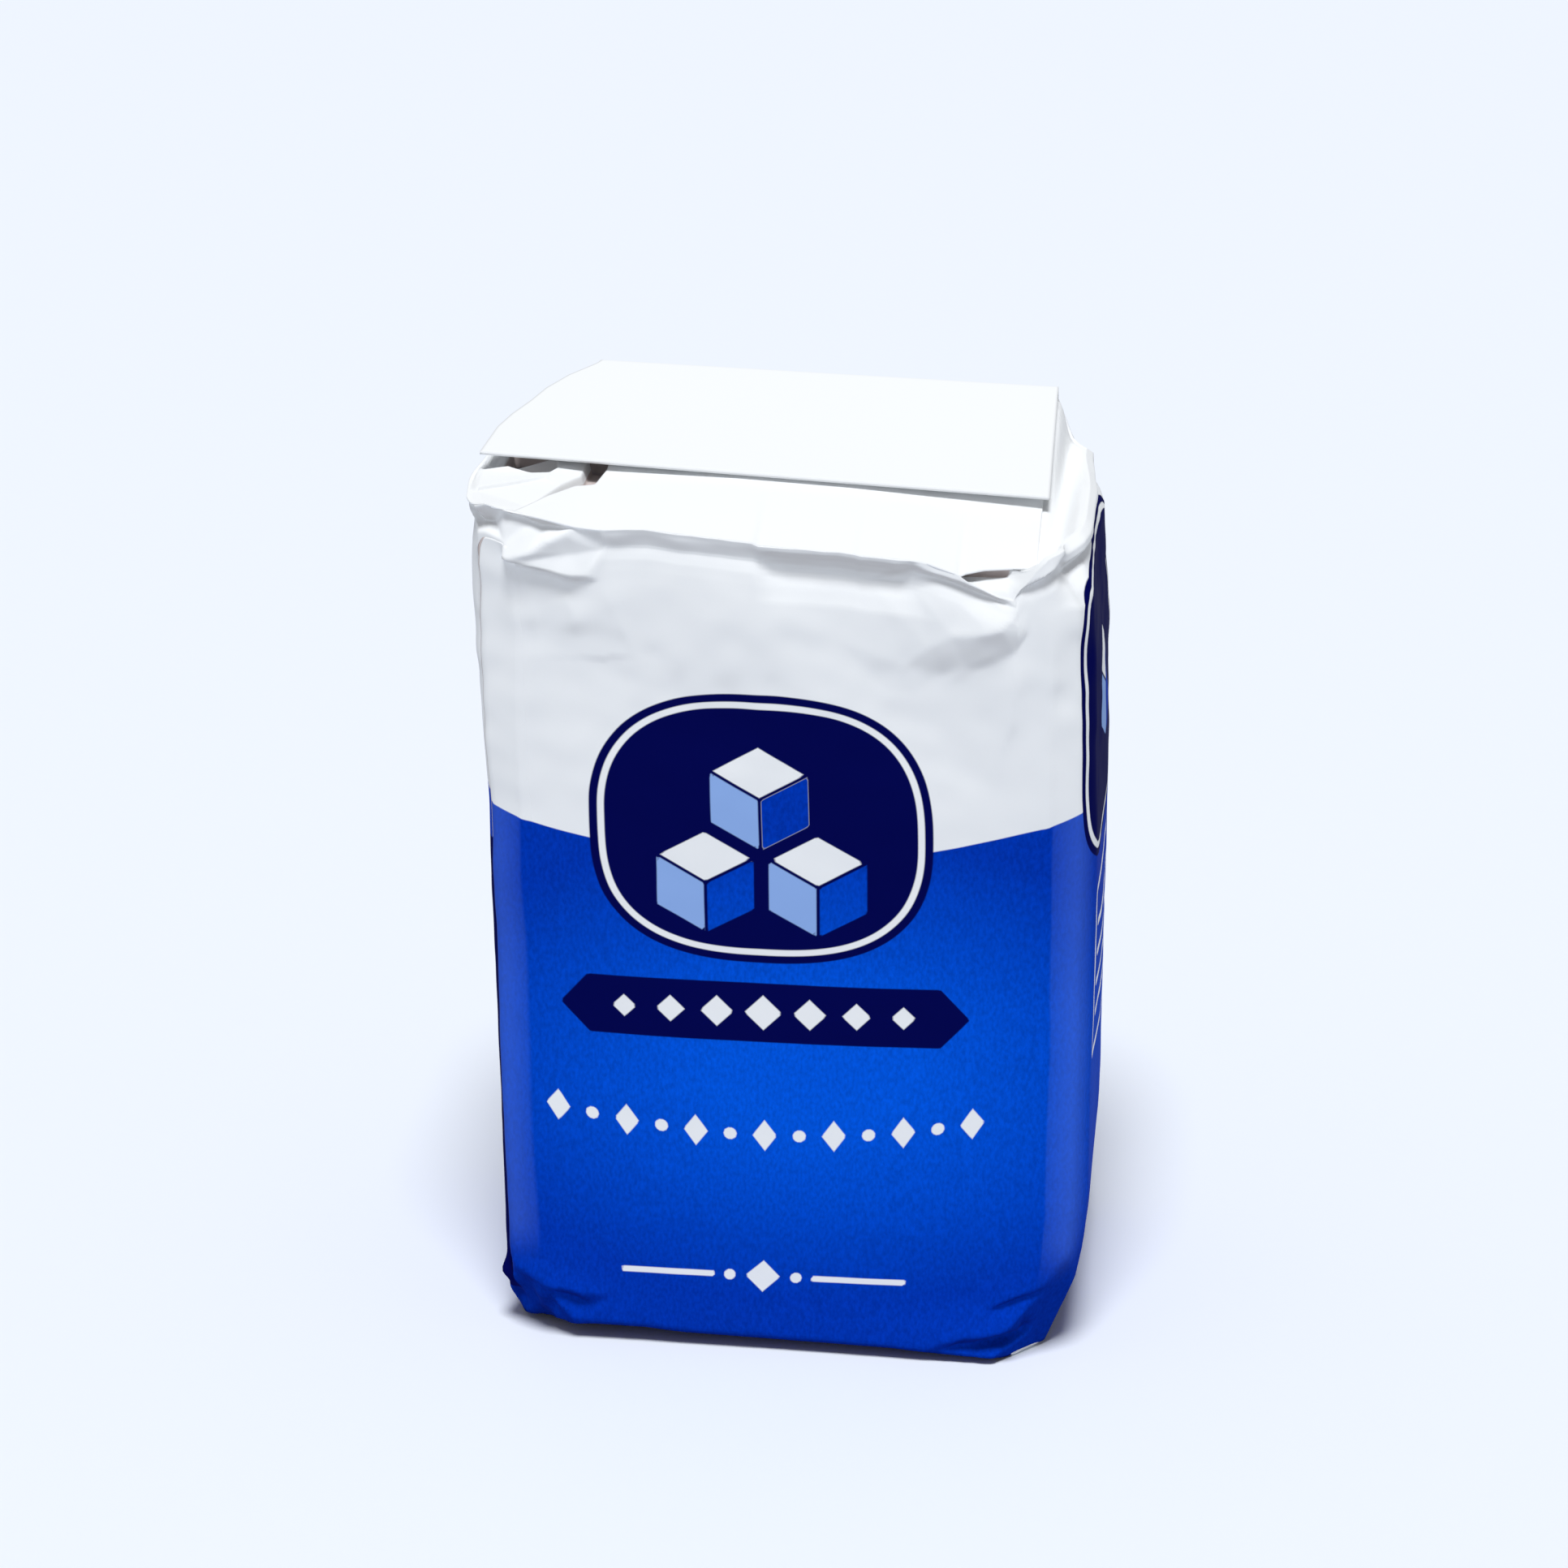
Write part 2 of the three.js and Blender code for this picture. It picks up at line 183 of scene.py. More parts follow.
# Creases are rows of points, each (round the paper, height, out), and folds are routes through them.
# Crumpled pleat at the left end of the front rim, its heights measured down from the rim
PLEAT = {
    "tip": [(-58.6, 0, 0.1), (-58.9, 1.2, -0.3)],
    "jaw": [(-57.1, 1.9, -1.1), (-52.0, 3.6, -1.3)],
    "chin": [(-53.9, 0.5, 0.2)],
    "rim": [(-52.9, 0, 0.5), (-49.4, 0, 0.3), (-45.3, 0, 0.3), (-42.1, 0, 0.3), (-36.1, 0, 0.3),
            (-31.7, 0, 0.3)],
    "lens": [(-49.6, 0.5, -0.8), (-46.0, 0.9, -1.2), (-42.1, 1.8, -1.2), (-39.1, 1.2, -0.5)],
    "dip": [(-45.6, 2.2, -0.7)],
    "cheek": [(-48.1, 5.6, 0.5)],
    "knot": [(-46.4, 8.0, 2.4)],
    "ridge": [(-37.3, 1.3, 0.9), (-39.6, 3.3, 1.7), (-42.4, 6.2, 2.4)],
    "grey": [(-31.8, 2.9, -0.7), (-32.4, 4.0, -0.7)],
    "hinge": [(-37.4, 5.4, 0.1), (-42.3, 7.3, 1.6)],
    "hem": [(-42.5, 8.7, 1.9), (-39.7, 8.9, 1.7), (-36.2, 8.8, 1.4), (-33.6, 8.6, 0.7)],
    "under": [(-48.6, 7.6, 0.2), (-46.4, 8.9, 0.2), (-43.0, 9.3, 0.0), (-36.0, 9.4, 0), (-32, 9.6, 0)],
    "knee": [(-31.2, 4.2, 0.1)],
    "side": [(-62, 0, 0), (-62, 4, 0)],
    "low": [(-55.5, 4.4, 0.2), (-57.8, 3.2, 0.2), (-50.6, 5.2, 0.3)],
    "foot": [(-54, 12, 0), (-44, 18, 0), (-33, 18, 0), (-30, 10, 0), (-30, 0, 0)],
}
PLEAT_FOLDS = [
    "tip1 rim1-6", "tip1-2 jaw1-2 chin1 rim1", "rim2 lens1-4 rim5", "lens2 dip1 knot1", "jaw2 cheek1 knot1",
    "rim5 ridge1-3 knot1", "rim6 grey1-2 hinge1-2 knot1", "grey2 hem4", "knot1 hem1-4", "under1-5",
    "side2 tip2", "rim6 knee1 grey2",
]
# Pinched right end of the front rim: its lip, the roll right of it and the ridge below
PINCH = {
    "top": [(14, 159, 0), (22, 156.6, 0.1), (27.8, 154.7, 0.4), (31.6, 152.7, 0.5), (34.2, 151.3, 0.5),
            (36.8, 150.0, 0.5), (39.4, 149.3, 0.4), (40.3, 151.2, 0.4), (42.2, 153.9, 0.4),
            (45.3, 157.3, 0.3), (49.6, 159.2, 0.2), (53, 160, 0)],
    "lip": [(23, 154.3, 0.3), (27, 153.2, 0.5), (31, 151.9, 0.6), (35, 150.25, 0.6), (38.4, 148.9, 0.4)],
    "under": [(23, 153.6, -0.4), (27, 152.6, -0.8), (31, 151.3, -0.8), (35, 149.7, -0.6),
              (38.2, 148.3, -0.1)],
    "fade": [(23, 150.2, 0), (27.1, 149.4, 0.1), (31.1, 148.0, 0.2), (35.1, 147.1, 0.5), (37.6, 147.3, 0.7)],
    "ridge": [(39.7, 147.8, 0.8), (37.9, 145.9, 1.6), (35.9, 144.5, 1.9), (33.9, 143.7, 1.9),
              (31.6, 143.2, 1.8), (28.2, 142.8, 1.5), (24.8, 140.4, 0.9), (21.5, 136.5, 0.5), (18, 132, 0)],
    "rise": [(15, 151, 0), (9, 141, 0)],
    "roll": [(40.4, 151.1, 0.4), (42.9, 152.7, 0.6), (45.9, 154.4, 0.6), (48.5, 156.6, 0.4),
             (51.3, 158.5, 0.1)],
    "tuck": [(40.7, 150.4, -0.2), (43.0, 152.0, -0.7), (46.0, 153.7, -0.7), (48.7, 155.8, -0.4),
             (51.5, 157.8, -0.1)],
    "ebb": [(41.0, 148.6, 0.2), (43.6, 149.4, 0), (46.6, 150.8, 0), (49.7, 153.0, 0), (53, 156, 0)],
    "fall": [(42.0, 143.0, -0.2), (39.6, 139.6, -0.2), (36, 137.4, -0.2), (31.6, 136.4, -0.2),
             (27.5, 135.2, -0.1), (23, 131.5, 0)],
    "out": [(48, 140, 0), (46, 124, 0), (36, 118, 0), (26, 122, 0)],
}
PINCH_FOLDS = ["lip1-5", "under1-5", "fade1-5", "ridge1-9", "roll1-5", "tuck1-5", "ebb1-4",
               "fall1-6 ridge9"]
# Creases above the tucked right bottom corner
HEEL_RIGHT = {
    "brow": [(47.6, 15.6, 0.1), (44.2, 14.5, 0.4), (40.4, 12.8, 0.4), (37.2, 10.9, 0.1)],
    "vale": [(47.1, 14.4, -0.5), (44.1, 13.4, -0.7), (40.6, 11.7, -0.6), (38.0, 9.8, -0.1)],
    "streak": [(46.2, 12.5, 0.6), (43.4, 9.9, 1.1), (40.2, 8.4, 1.0), (37.5, 7.8, 0.5)],
    "brim": [(25.5, 1.9, 0), (28.5, 4.0, 0.2), (32.9, 5.6, 0.5), (38.3, 6.4, 0.8), (42.4, 7.6, 1.0)],
    "nook": [(44.3, 9.0, -0.6)],
    "deep": [(29.5, 2.6, -0.6), (33.5, 3.6, -1.4), (38.3, 4.0, -2.2), (43.0, 4.8, -2.5), (46.2, 5.8, -2.4)],
    "lobe": [(30.6, 1.0, 0), (35, 1.0, 0.1), (39.5, 2.2, 0.2), (43.7, 2.8, 0), (47.6, 3.0, -0.5)],
    "out": [(27, 9, 0), (33, 14, 0), (40, 17, 0), (47, 19, 0), (51, 16, 0), (50, 9, 0), (50, 2, 0),
            (40, -1, 0), (25, 0, 0)],
}
HEEL_RIGHT_FOLDS = ["brow1-4", "vale1-4", "streak1-4", "brim1-5", "deep1-5", "lobe1-5",
                    "streak2 nook1 brim5", "nook1 deep5"]
# Creases above the tucked left bottom corner
HEEL_LEFT = {
    "crest": [(-50.6, 14.8, 0.3), (-47.6, 13.0, 0.6), (-44.6, 10.2, 0.8), (-42.3, 7.8, 0.9),
              (-39.9, 5.4, 0.5)],
    "arch": [(-42.5, 10.9, 0.7), (-39.8, 11.0, 0.8), (-36.8, 10.2, 0.8), (-31.7, 9.6, 0.1)],
    "cup": [(-42.3, 9.4, -0.6), (-39.6, 8.6, -1.1), (-36.6, 7.6, -0.6)],
    "sill": [(-40.0, 6.4, 0.2), (-36.0, 5.0, 0.2)],
    "out": [(-54, 16, 0), (-48, 18, 0), (-40, 15, 0), (-30, 11, 0), (-32, 2, 0), (-37, 3, 0), (-45, 3, 0),
            (-51, 9, 0)],
}
HEEL_LEFT_FOLDS = ["crest1-5", "crest3 arch1-4", "cup1-3", "sill1-2"]
# Plies of the left gusset and the diagonal fold in front of them, each point (across, deep, high)
GUSSET = {
    "tip": [(-55.9, -27.5, 161.9)],
    "rim": [(-52.4, -32.4, 162.4), (-47.4, -34.3, 161.7), (-45, -34.3, 161.1)],
    "left": [(-56.1, -24, 162.3), (-56.1, -16.4, 163.0), (-56.1, -10, 162.4), (-56.1, 0, 162.3)],
    "ply": [(-54.4, -25.4, 162.4), (-48.2, -21.6, 162.5), (-43.6, -18.5, 162.6)],
    "slot": [(-54.4, -25.1, 161.5), (-48.2, -21.3, 161.5), (-43.6, -18.2, 162.3)],
    "step": [(-54.5, -24.9, 163.0), (-48.3, -21.1, 163.0), (-43.6, -17.9, 163.1)],
    "lap": [(-55, -16.4, 163.2), (-46.4, -16.2, 163.0), (-43.2, -16.2, 163.2)],
    "shade": [(-54.5, -12.0, 162.0), (-52.0, -13.0, 161.6)],
    "curl": [(-50.4, -15.0, 163.6)],
    "hole": [(-49.6, -14.2, 158.6), (-42.9, -14.4, 158.0)],
    "back": [(-54, -3, 161.0), (-49, -3, 156.0), (-43.4, -3, 156.0)],
    "rib": [(-42.8, -9, 163.4), (-37.2, -9, 163.2), (-37.5, -16.7, 162.7), (-40.6, -20.9, 162.4),
            (-42.8, -25.2, 161.9), (-44.8, -30.0, 161.4)],
    "spine": [(-42.2, -14.4, 163.4), (-43.0, -18.2, 163.2)],
    "gap": [(-36.7, -9, 160.4), (-37.0, -17.0, 160.9), (-40.1, -21.4, 160.7), (-42.3, -25.7, 160.5),
            (-44.2, -30.4, 160.7)],
    "wall": [(-30, -9, 160.0), (-30, -20, 159.4), (-36, -25, 159.2), (-40, -30, 158.6),
             (-43.5, -34.3, 160.2), (-39, -34.3, 158.4), (-30, -34.3, 157.0), (-30, -3, 154.0),
             (-37, -3, 154.0)],
}
GUSSET_FOLDS = ["ply1-3", "slot1-3", "step1-3", "lap1-3", "rib1-6", "gap1-5", "rib1 spine1-2 ply3",
                "hole1-2", "shade1 curl1", "lap2 curl1"]
GUSSET_ENDS = (-34.0, -3.5)
GUSSET_RIGHT = -30.5
GUSSET_GRID = (170, 150)
# Height below which the gusset shows its inner face, which is coloured darker further down as painted shade
INNER_HEIGHT = 161.3

# Soft folds of the white front: (route of points round and up the paper, left width, right width, rise)
FRONT_FOLDS = [
    ([(36.5, 140.5), (33.0, 137.5), (29.9, 135.2), (27.5, 131.5)], 1.5, 2.2, 0.3),
    ([(40.0, 139.0), (39.0, 126.0), (36.5, 114.0)], 3.5, 4.5, 0.7),
    ([(-31.5, 150.0), (-28.0, 142.0), (-25.5, 136.0), (-27.0, 131.0)], 6.0, 6.0, 0.6),
    ([(-38.5, 148.0), (-36.0, 143.0), (-37.0, 139.0)], 2.5, 2.5, 0.45),
    ([(-44.0, 150.0), (-43.0, 138.0), (-44.0, 120.0)], 2.0, 4.0, 0.35),
]
# Place of the pressed edges where the front meets its corners
CREASE_PLACE = 46.3

# Glued seam on the front left corner: its ends, then, by height, the turn of its free edge from the front
# in degrees, the lift of that edge and the groove behind it
SEAM_BOTTOM = 13.5
SEAM_TOP = 156.0
SEAM_TURN = [(10, 62), (100, 60), (140, 57), (150, 50), (156, 45)]
SEAM_LIFT = [(13.5, 0.2), (18, 0.5), (60, 0.6), (100, 0.4), (145, 0.25), (156, 0.05)]
SEAM_GROOVE = [(13, 2.4), (90, 2.2), (102, 1.0), (150, 0.8)]
SEAM_THICK = 0.2
SEAM_COLUMNS = 16
# Columns of the front that the seam lies on, and a column by whose height its rows are chosen
SEAM_REACH = 3.0
SEAM_PROBE = 10
# Height over which the seam's upper end is rounded
SEAM_ROUNDING = 2.4

# Print. Heights of the middles of its shapes
PANEL_UP = 104.8
SIDE_PANEL_UP = 124.5
BAND_UP = 69.5
ROW_UP = 45.0
RULE_UP = 15.8
BOX_UP = 74.0
# Lower corner of each cube's top face on the front, (across, up), and on the side
CUBES = [(-10.0, 94.5), (10.0, 94.5), (0.0, 110.8)]
CUBE_SIDE = 10.0
SIDE_CUBE_UP = 123.0
SIDE_CUBE_SIDE = 11.0
# How far the front's design sits left of its middle, and the pitch of the row's and the band's motifs
PRINT_SHIFT = 4.2
PITCH = 6.3
GEM_PITCH = 8.4
# Column on which each of the right, back and left walls' print is centred, so that its motifs stay sharp
PRINT_COLUMNS = (11, 22, 11)
# Width of the white keyline, and the distances given to what has no print and past a row's last motif
KEYLINE = 1.2
NO_PRINT = -9.0
PAST_LAST = -1.0
PRINTS = ("blue_print", "navy_print", "pale_print", "white_print", "keyline", "inner_paper_and_shade")
# Painted light and shade on the blue: the place where it is coloured brightest, (across, up), and how far
# from it, across and up, it is coloured darkest
PAINTED_LIGHT_MIDDLE = (6, 58)
PAINTED_LIGHT_REACH = (75, 47)

# Stage: camera's place and sensor, direction of the key light and corners of the floor
CAMERA_PLACE = (75.36, -764.45, 423.65)
SENSOR = 36.0
LIGHT_AHEAD = (-0.02, 0.33, -1.0)
FLOOR_CORNERS = [(-4000, -4000, 0), (4000, -4000, 0), (4000, 6000, 0), (-4000, 6000, 0)]


def along(pairs, at):
    """Value read off (place, value) pairs, straight between them."""
    places, values = np.array(pairs, float).T
    return np.interp(at, places, values)


def ease(start, end, x):
    """Smooth step: 0 before start, 1 past end, 3t^2 - 2t^3 between. Start may lie above end."""
    t = np.clip((x - start) / (end - start), 0.0, 1.0)
    return t * t * (3.0 - 2.0 * t)


def within(rise, fall, x):
    """Smooth step up over one range and down again over another."""
    return ease(*rise, x) * ease(*reversed(fall), x)


def hump(middle, width, x):
    """Bell curve: exp(-((x - middle) / width)^2)."""
    return np.exp(-((x - middle) / width) ** 2)


def mix(a, b, t):
    """Straight blend from a to b."""
    return a + (b - a) * t


def between(table, at):
    """Rows of a table read at fractional row numbers, straight between them."""
    table = np.asarray(table)
    k = np.minimum(at.astype(int), len(table) - 2)
    return mix(table[k], table[k + 1], (at - k)[:, None])


def add_height(flat, height):
    """Points from places, two numbers each, and their heights."""
    return np.concatenate([flat, np.broadcast_to(height, flat.shape[:-1])[..., None]], axis=-1)


def outline(left, right, front, back, corner, swell):
    """Rounded rectangles, counter-clockwise from the front left crease, as (levels, columns, 2).

    Each wall is the straight run between two corner centres, pushed out by the corner's radius and by a
    parabola of its panel's swell. Each corner is a quarter circle pressed towards two flat facets,
    r cos(22.5) / cos(turn - 22.5) in each half of its turn. Each size has one value for each level.
    """
    sizes = (left, right, front, back, corner, swell)
    left, right, front, back, corner, swell = (size[:, None] for size in sizes)
    eighth = math.pi / 8
    centres = [(right - corner, corner - front), (right - corner, back - corner),
               (corner - left, back - corner), (corner - left, corner - front)]
    runs = []
    for wall, centre in enumerate(centres):
        facing = (wall - 1) * math.pi / 2
        f = np.arange(WALL_STEPS[wall])[None, :] / WALL_STEPS[wall]
        reach = corner + PANEL_SWELL[wall] * swell * (1.0 - (2.0 * f - 1.0) ** 2)
        toward = (math.cos(facing), math.sin(facing))
        runs.append([mix(a, b, f) + t * reach for a, b, t in zip(centres[wall - 1], centre, toward)])
        turn = math.pi / 2 * np.arange(CORNER_STEPS[wall])[None, :] / CORNER_STEPS[wall]
        facet = math.cos(eighth) / np.cos(turn % (2 * eighth) - eighth)
        reach = corner * mix(1.0, facet, CORNER_FACET)
        runs.append([centre[0] + reach * np.cos(facing + turn), centre[1] + reach * np.sin(facing + turn)])
    return np.moveaxis(np.concatenate(runs, axis=-1), 0, -1)


def wall_outline(height, inset=0.0, corner=WALL_CORNER):
    """Outline of the walls at each height, drawn in by an inset."""
    height = np.atleast_1d(np.asarray(height, float))
    sides = [along(wall, height) - inset for wall in (LEFT_WALL, RIGHT_WALL, FRONT_WALL, BACK_WALL)]
    return outline(*sides, np.broadcast_to(corner, height.shape), along(SWELL, height))


def paper_round():
    """Place of each column round the paper at half height, 0 at the middle of the front, and the girth."""
    ring = wall_outline(HALF_HEIGHT)[0]
    steps = np.linalg.norm(np.roll(ring, -1, axis=0) - ring, axis=-1)
    passed = np.cumsum(steps) - steps
    return passed - passed[WALL_STEPS[0] // 2], steps.sum()


ROUND, GIRTH = paper_round()


def wrap(u):
    """Place round the paper brought to the half turn either side of the front."""
    return (u + GIRTH / 2) % GIRTH - GIRTH / 2


def edge_gaps(x, y):
    """Distances from the front, right, back and left edges of the mouth."""
    walls = (FRONT_WALL, RIGHT_WALL, BACK_WALL, LEFT_WALL)
    front, right, back, left = (along(wall, MOUTH_HEIGHT) for wall in walls)
    return [front + y, right - x, back - y, left + x]


def blend_edges(x, y, values):
    """A value for each edge of the mouth, blended at the corners by inverse square distance."""
    weights = [1.0 / (0.4 + np.maximum(gap, 0.0)) ** 2 for gap in edge_gaps(x, y)]
    return sum(w * v for w, v in zip(weights, values)) / sum(weights)


def rim_height(x, y):
    """Height of the rim at a point of the mouth."""
    rims = [along(RIM_FRONT, x), along(RIM_RIGHT, y), along(RIM_BACK, x), along(RIM_LEFT, y)]
    return blend_edges(x, y, rims)


def seeded_waves(u, v, count, shortest, longest, seed):
    """Smooth random relief: a sum of plane waves, whole numbers of them round the girth."""
    rng = np.random.default_rng(seed)
    total = np.zeros(np.broadcast(u, v).shape)
    for _ in range(count):
        length = math.exp(rng.uniform(math.log(shortest), math.log(longest)))
        angle = rng.uniform(0, 2 * math.pi)
        across = 2 * math.pi * round(GIRTH / length * math.cos(angle)) / GIRTH
        up = 2 * math.pi / length * math.sin(angle)
        total += length * np.sin(across * u + up * v + rng.uniform(0, 2 * math.pi))
    return total / (count ** 0.5 * longest)


def point_names(stop):
    """Names of the points at one stop of a route: "rim2" is itself, "rim2-4" is rim2, rim3 and rim4."""
    row = stop.rstrip("-0123456789")
    first, _, last = stop[len(row):].partition("-")
    return [f"{row}{number}" for number in range(int(first), int(last or first) + 1)]


def creased(rows, folds, u, v, outside=0.0, soft=0.3):
    """Creased paper: flat facets between rows of points, each (u, v, rise), with a fold along each route.

    The points are joined into triangles that keep the folds as edges. Inside a triangle the rise is the
    mean of its corners' rises, weighted by the barycentric coordinates of (u, v). The result is the mean
    of five places, a soft distance apart, which rounds the folds.
    """
    points = {f"{row}{number}": point for row, run in rows.items() for number, point in enumerate(run, 1)}
    names = list(points)
    edges = []
    for route in folds:
        stops = [names.index(name) for stop in route.split() for name in point_names(stop)]
        edges += zip(stops, stops[1:])
    flat = [Vector(point[:2]) for point in points.values()]
    made, _, faces, origin, _, _ = delaunay_2d_cdt(flat, edges, [], 0, 1e-5)
    rises = [points[names[source[0]]][2] for source in origin]
    total = 0.0
    for du, dv in ((0, 0), (soft, 0), (-soft, 0), (0, soft), (0, -soft)):
        rise = np.broadcast_to(outside, np.broadcast(u, v).shape).astype(float)
        for i, j, k in faces:
            (u0, v0), (u1, v1), (u2, v2) = made[i], made[j], made[k]
            area = (u1 - u0) * (v2 - v0) - (u2 - u0) * (v1 - v0)
            b1 = ((u + du - u0) * (v2 - v0) - (u2 - u0) * (v + dv - v0)) / area
            b2 = ((u1 - u0) * (v + dv - v0) - (u + du - u0) * (v1 - v0)) / area
            inside = (b1 >= -1e-9) & (b2 >= -1e-9) & (b1 + b2 <= 1 + 1e-9)
            rise = np.where(inside, rises[i] + b1 * (rises[j] - rises[i]) + b2 * (rises[k] - rises[i]), rise)
        total = total + rise / 5
    return total


def soft_fold(u, v, route, left_width, right_width, height):
    """A soft ridge along a route of (u, v) points: it falls off as exp(-distance / width), with a width for
    each side, and fades out at both ends."""
    nearest = np.full(np.broadcast(u, v).shape, np.inf)
    rise = np.zeros_like(nearest)
    lengths = [math.dist(a, b) for a, b in zip(route, route[1:])]
    passed = 0.0
    for (ua, va), (ub, vb), length in zip(route, route[1:], lengths):
        t = np.clip(((u - ua) * (ub - ua) + (v - va) * (vb - va)) / length ** 2, 0.0, 1.0)
        away = np.hypot(u - ua - t * (ub - ua), v - va - t * (vb - va))
        on_left = (ub - ua) * (v - va) - (vb - va) * (u - ua) > 0
        ends = within((0.0, 0.25), (0.6, 1.0), (passed + t * length) / sum(lengths))
        here = height * ends * np.exp(-away / np.where(on_left, left_width, right_width))
        rise = np.where(away < nearest, here, rise)
        nearest = np.minimum(away, nearest)
        passed += length
    return rise


def past_seam(u, up):
    """Distance past the seam's free edge, towards the left side."""
    return -u - (along(LEFT_WALL, up) - WALL_CORNER + WALL_CORNER * np.radians(along(SEAM_TURN, up)))


def wall_relief(u, up, below):
    """How far the paper stands out, by its place round, its height and its distance below the rim.

    It is the sum of the creases of the rim and the heels, the soft folds, the pressed edges of the front,
    shallow random dents, which are deeper in the loose paper near the rim, and the groove behind the seam.
    """
    out = creased(PLEAT, PLEAT_FOLDS, u, below)
    out = out + creased(HEEL_RIGHT, HEEL_RIGHT_FOLDS, u, up)
    out = out + creased(HEEL_LEFT, HEEL_LEFT_FOLDS, u, up)
    out = out + creased(PINCH, PINCH_FOLDS, u, up, soft=0.15)
    for route, left_width, right_width, height in FRONT_FOLDS:
        out = out + soft_fold(u, up, route, left_width, right_width, height)
    from_crease = np.abs(np.abs(u) - CREASE_PLACE)
    out = out + 0.25 * np.exp(-from_crease / 0.8) * within((12, 20), (138, 150), up)
    loose = ease(95, 140, up)
    dents = (0.25 + 0.5 * loose) * ease(8, 22, up) * ease(0.5, 6.0, below)
    out = out + dents * seeded_waves(u, up, 14, 18.0, 60.0, 3)
    wrinkles = (0.04 + 0.10 * loose) * ease(0.3, 2.0, below)
    out = out + wrinkles * seeded_waves(u, up, 18, 5.0, 14.0, 8)
    groove = hump(0.5, 0.7, past_seam(u, up)) * within((12, 14), (150, 155), up)
    return out - along(SEAM_GROOVE, up) * groove


def fin_front(x):
    """Height of the fin's upper face along its front edge: straight, high on the left."""
    return 163.38 - 0.0489 * x


def fin_height(x, y):
    """Upper face of the fin: straight from its front edge to its fold at the back, which is straight too."""
    fin_back = 167.4 - 0.0286 * x
    return mix(fin_front(x), fin_back, (y - FIN_FRONT_Y) / (FIN_BACK_Y - FIN_FRONT_Y))


def strip_height(x, y):
    """Roof strip: straight from the front rim to the fin's front edge, bowed by a sine, then on below it."""
    front = along(STRIP_FRONT, x)
    rim = mix(along(RIM_FRONT, np.minimum(x, 31.0)), along(POCKET_TOP, x), ease(29.8, 31.4, x))
    bed = fin_front(x) - FIN_THICK - along(FIN_GAP, x)
    rise = np.clip((y + front) / (front + FIN_FRONT_Y), 0.0, 1.2)
    return mix(rim, bed, rise) + STRIP_BOW * np.sin(math.pi * np.clip(rise, 0, 1))


def top_height(x, y, rim):
    """Paper below the roof strip, the gusset plies and the fin.

    Under the fin it follows the fin's lower face; in front of that it lies just below the roof strip. On
    the right it falls to a valley and climbs again to the rolled rim; on the left it drops below the
    gusset plies. Close to each edge of the mouth it eases up to the rim.
    """
    front_gap, _, back_gap, left_gap = edge_gaps(x, y)
    below_strip = strip_height(x, y) - mix(0.9, 0.3, ease(38, 42, x))
    below_fin = fin_height(x, y) - FIN_THICK - mix(2.6, 1.6, ease(FIN_FRONT_Y, 6.0, y))
    bed = np.where(y < FIN_FRONT_Y, below_strip, below_fin)
    under_plies = ease(-31, -37, x) * ease(10, 0, y)
    bed = bed - PLY_DROP * under_plies
    bed = bed - 0.6 * np.maximum(along(FIN_LEFT, y) + 5.0 - x, 0.0) * ease(-6, 4, y)
    valley = along(RIGHT_VALLEY, y)
    height = np.where(x < VALLEY_X, mix(bed, valley, ease(44.2, VALLEY_X, x)),
                      mix(valley, rim + 0.25, ease(VALLEY_X, 50.6, x)))
    margin = PLY_MARGIN * under_plies
    rim = rim - 0.25 * margin * ease(0.0, 1.0, np.minimum(front_gap, left_gap))
    left_slope = (left_gap - margin) / mix(1.6, 5.0, ease(0, 20, y))
    inwards = np.minimum.reduce([(front_gap - margin) / 3.0, back_gap / 2.0, left_slope])
    return mix(rim, height, ease(0.0, 1.0, inwards))


def base_rows(mouth, lift):
    """Rows of the flat underside, scaled out from its middle, then of the foot, turned up by its profile.

    The front right corner, which stands on the floor, is filled out towards the walls' own outline.
    """
    scale = BASE_SCALE[:, None, None]
    base = wall_outline(0.0, FOOT[0][0], BASE_CORNER) * scale
    inset, share = np.array(FOOT[1:]).T
    foot = wall_outline(0 * inset, inset, mix(WALL_CORNER, BASE_CORNER, inset / FOOT[0][0]))
    edge = wall_outline(0.0)[0]
    firm = FIRM_CORNER * hump(46.0, 5.0, mouth[:, :1]) * (mouth[:, 1:] < -15)
    base = mix(base, edge * scale, firm * scale)
    foot = mix(foot, edge, firm)
    return np.concatenate([add_height(base, 0.0), add_height(foot, share[:, None] * lift)])


def lip_rows(mouth, outward, wall_top, rim, on_front):
    """Rows of the rim from the top of the wall to its crest, and the crest's inset.

    The sides' profiles are blended at the corners and read straight between their pairs. The pleat and the
    pinched end are left plain, for their own creases.
    """
    x, y = mouth.T
    lips = (LIP_FRONT_LEFT, LIP_FRONT_RIGHT, LIP_RIGHT, LIP_BACK, LIP_LEFT)
    left, right, *others = (np.array(lip)[..., None] for lip in lips)
    front = mix(left, right, ease(*LIP_CHANGE, x))
    drop, inset = np.moveaxis(blend_edges(x, y, [front, *others]), 1, 0)
    pleat = ease(*PLEAT_END, x) * on_front
    pinch = within(*PINCH_SPAN, x) * on_front
    corner_cut = CORNER_CUT * hump(50.6, 3.0, x) * hump(-29.5, 6.0, y)
    back_cut = BACK_CUT * ease(-5, 22, y) * ease(9.0, 1.0, edge_gaps(x, y)[1])
    inset = inset * (1 - pleat) * (1 - pinch) + (corner_cut + back_cut) * ease(10.0, 4.5, drop)
    at = np.linspace(0, len(drop) - 1, LIP_ROWS + 1)[1:]
    drops = between(drop, at)
    flat = mix(mouth, wall_top, drops[..., None] / RIM_DEPTH) - between(inset, at)[..., None] * outward
    return add_height(flat, rim - drops), inset[-1]


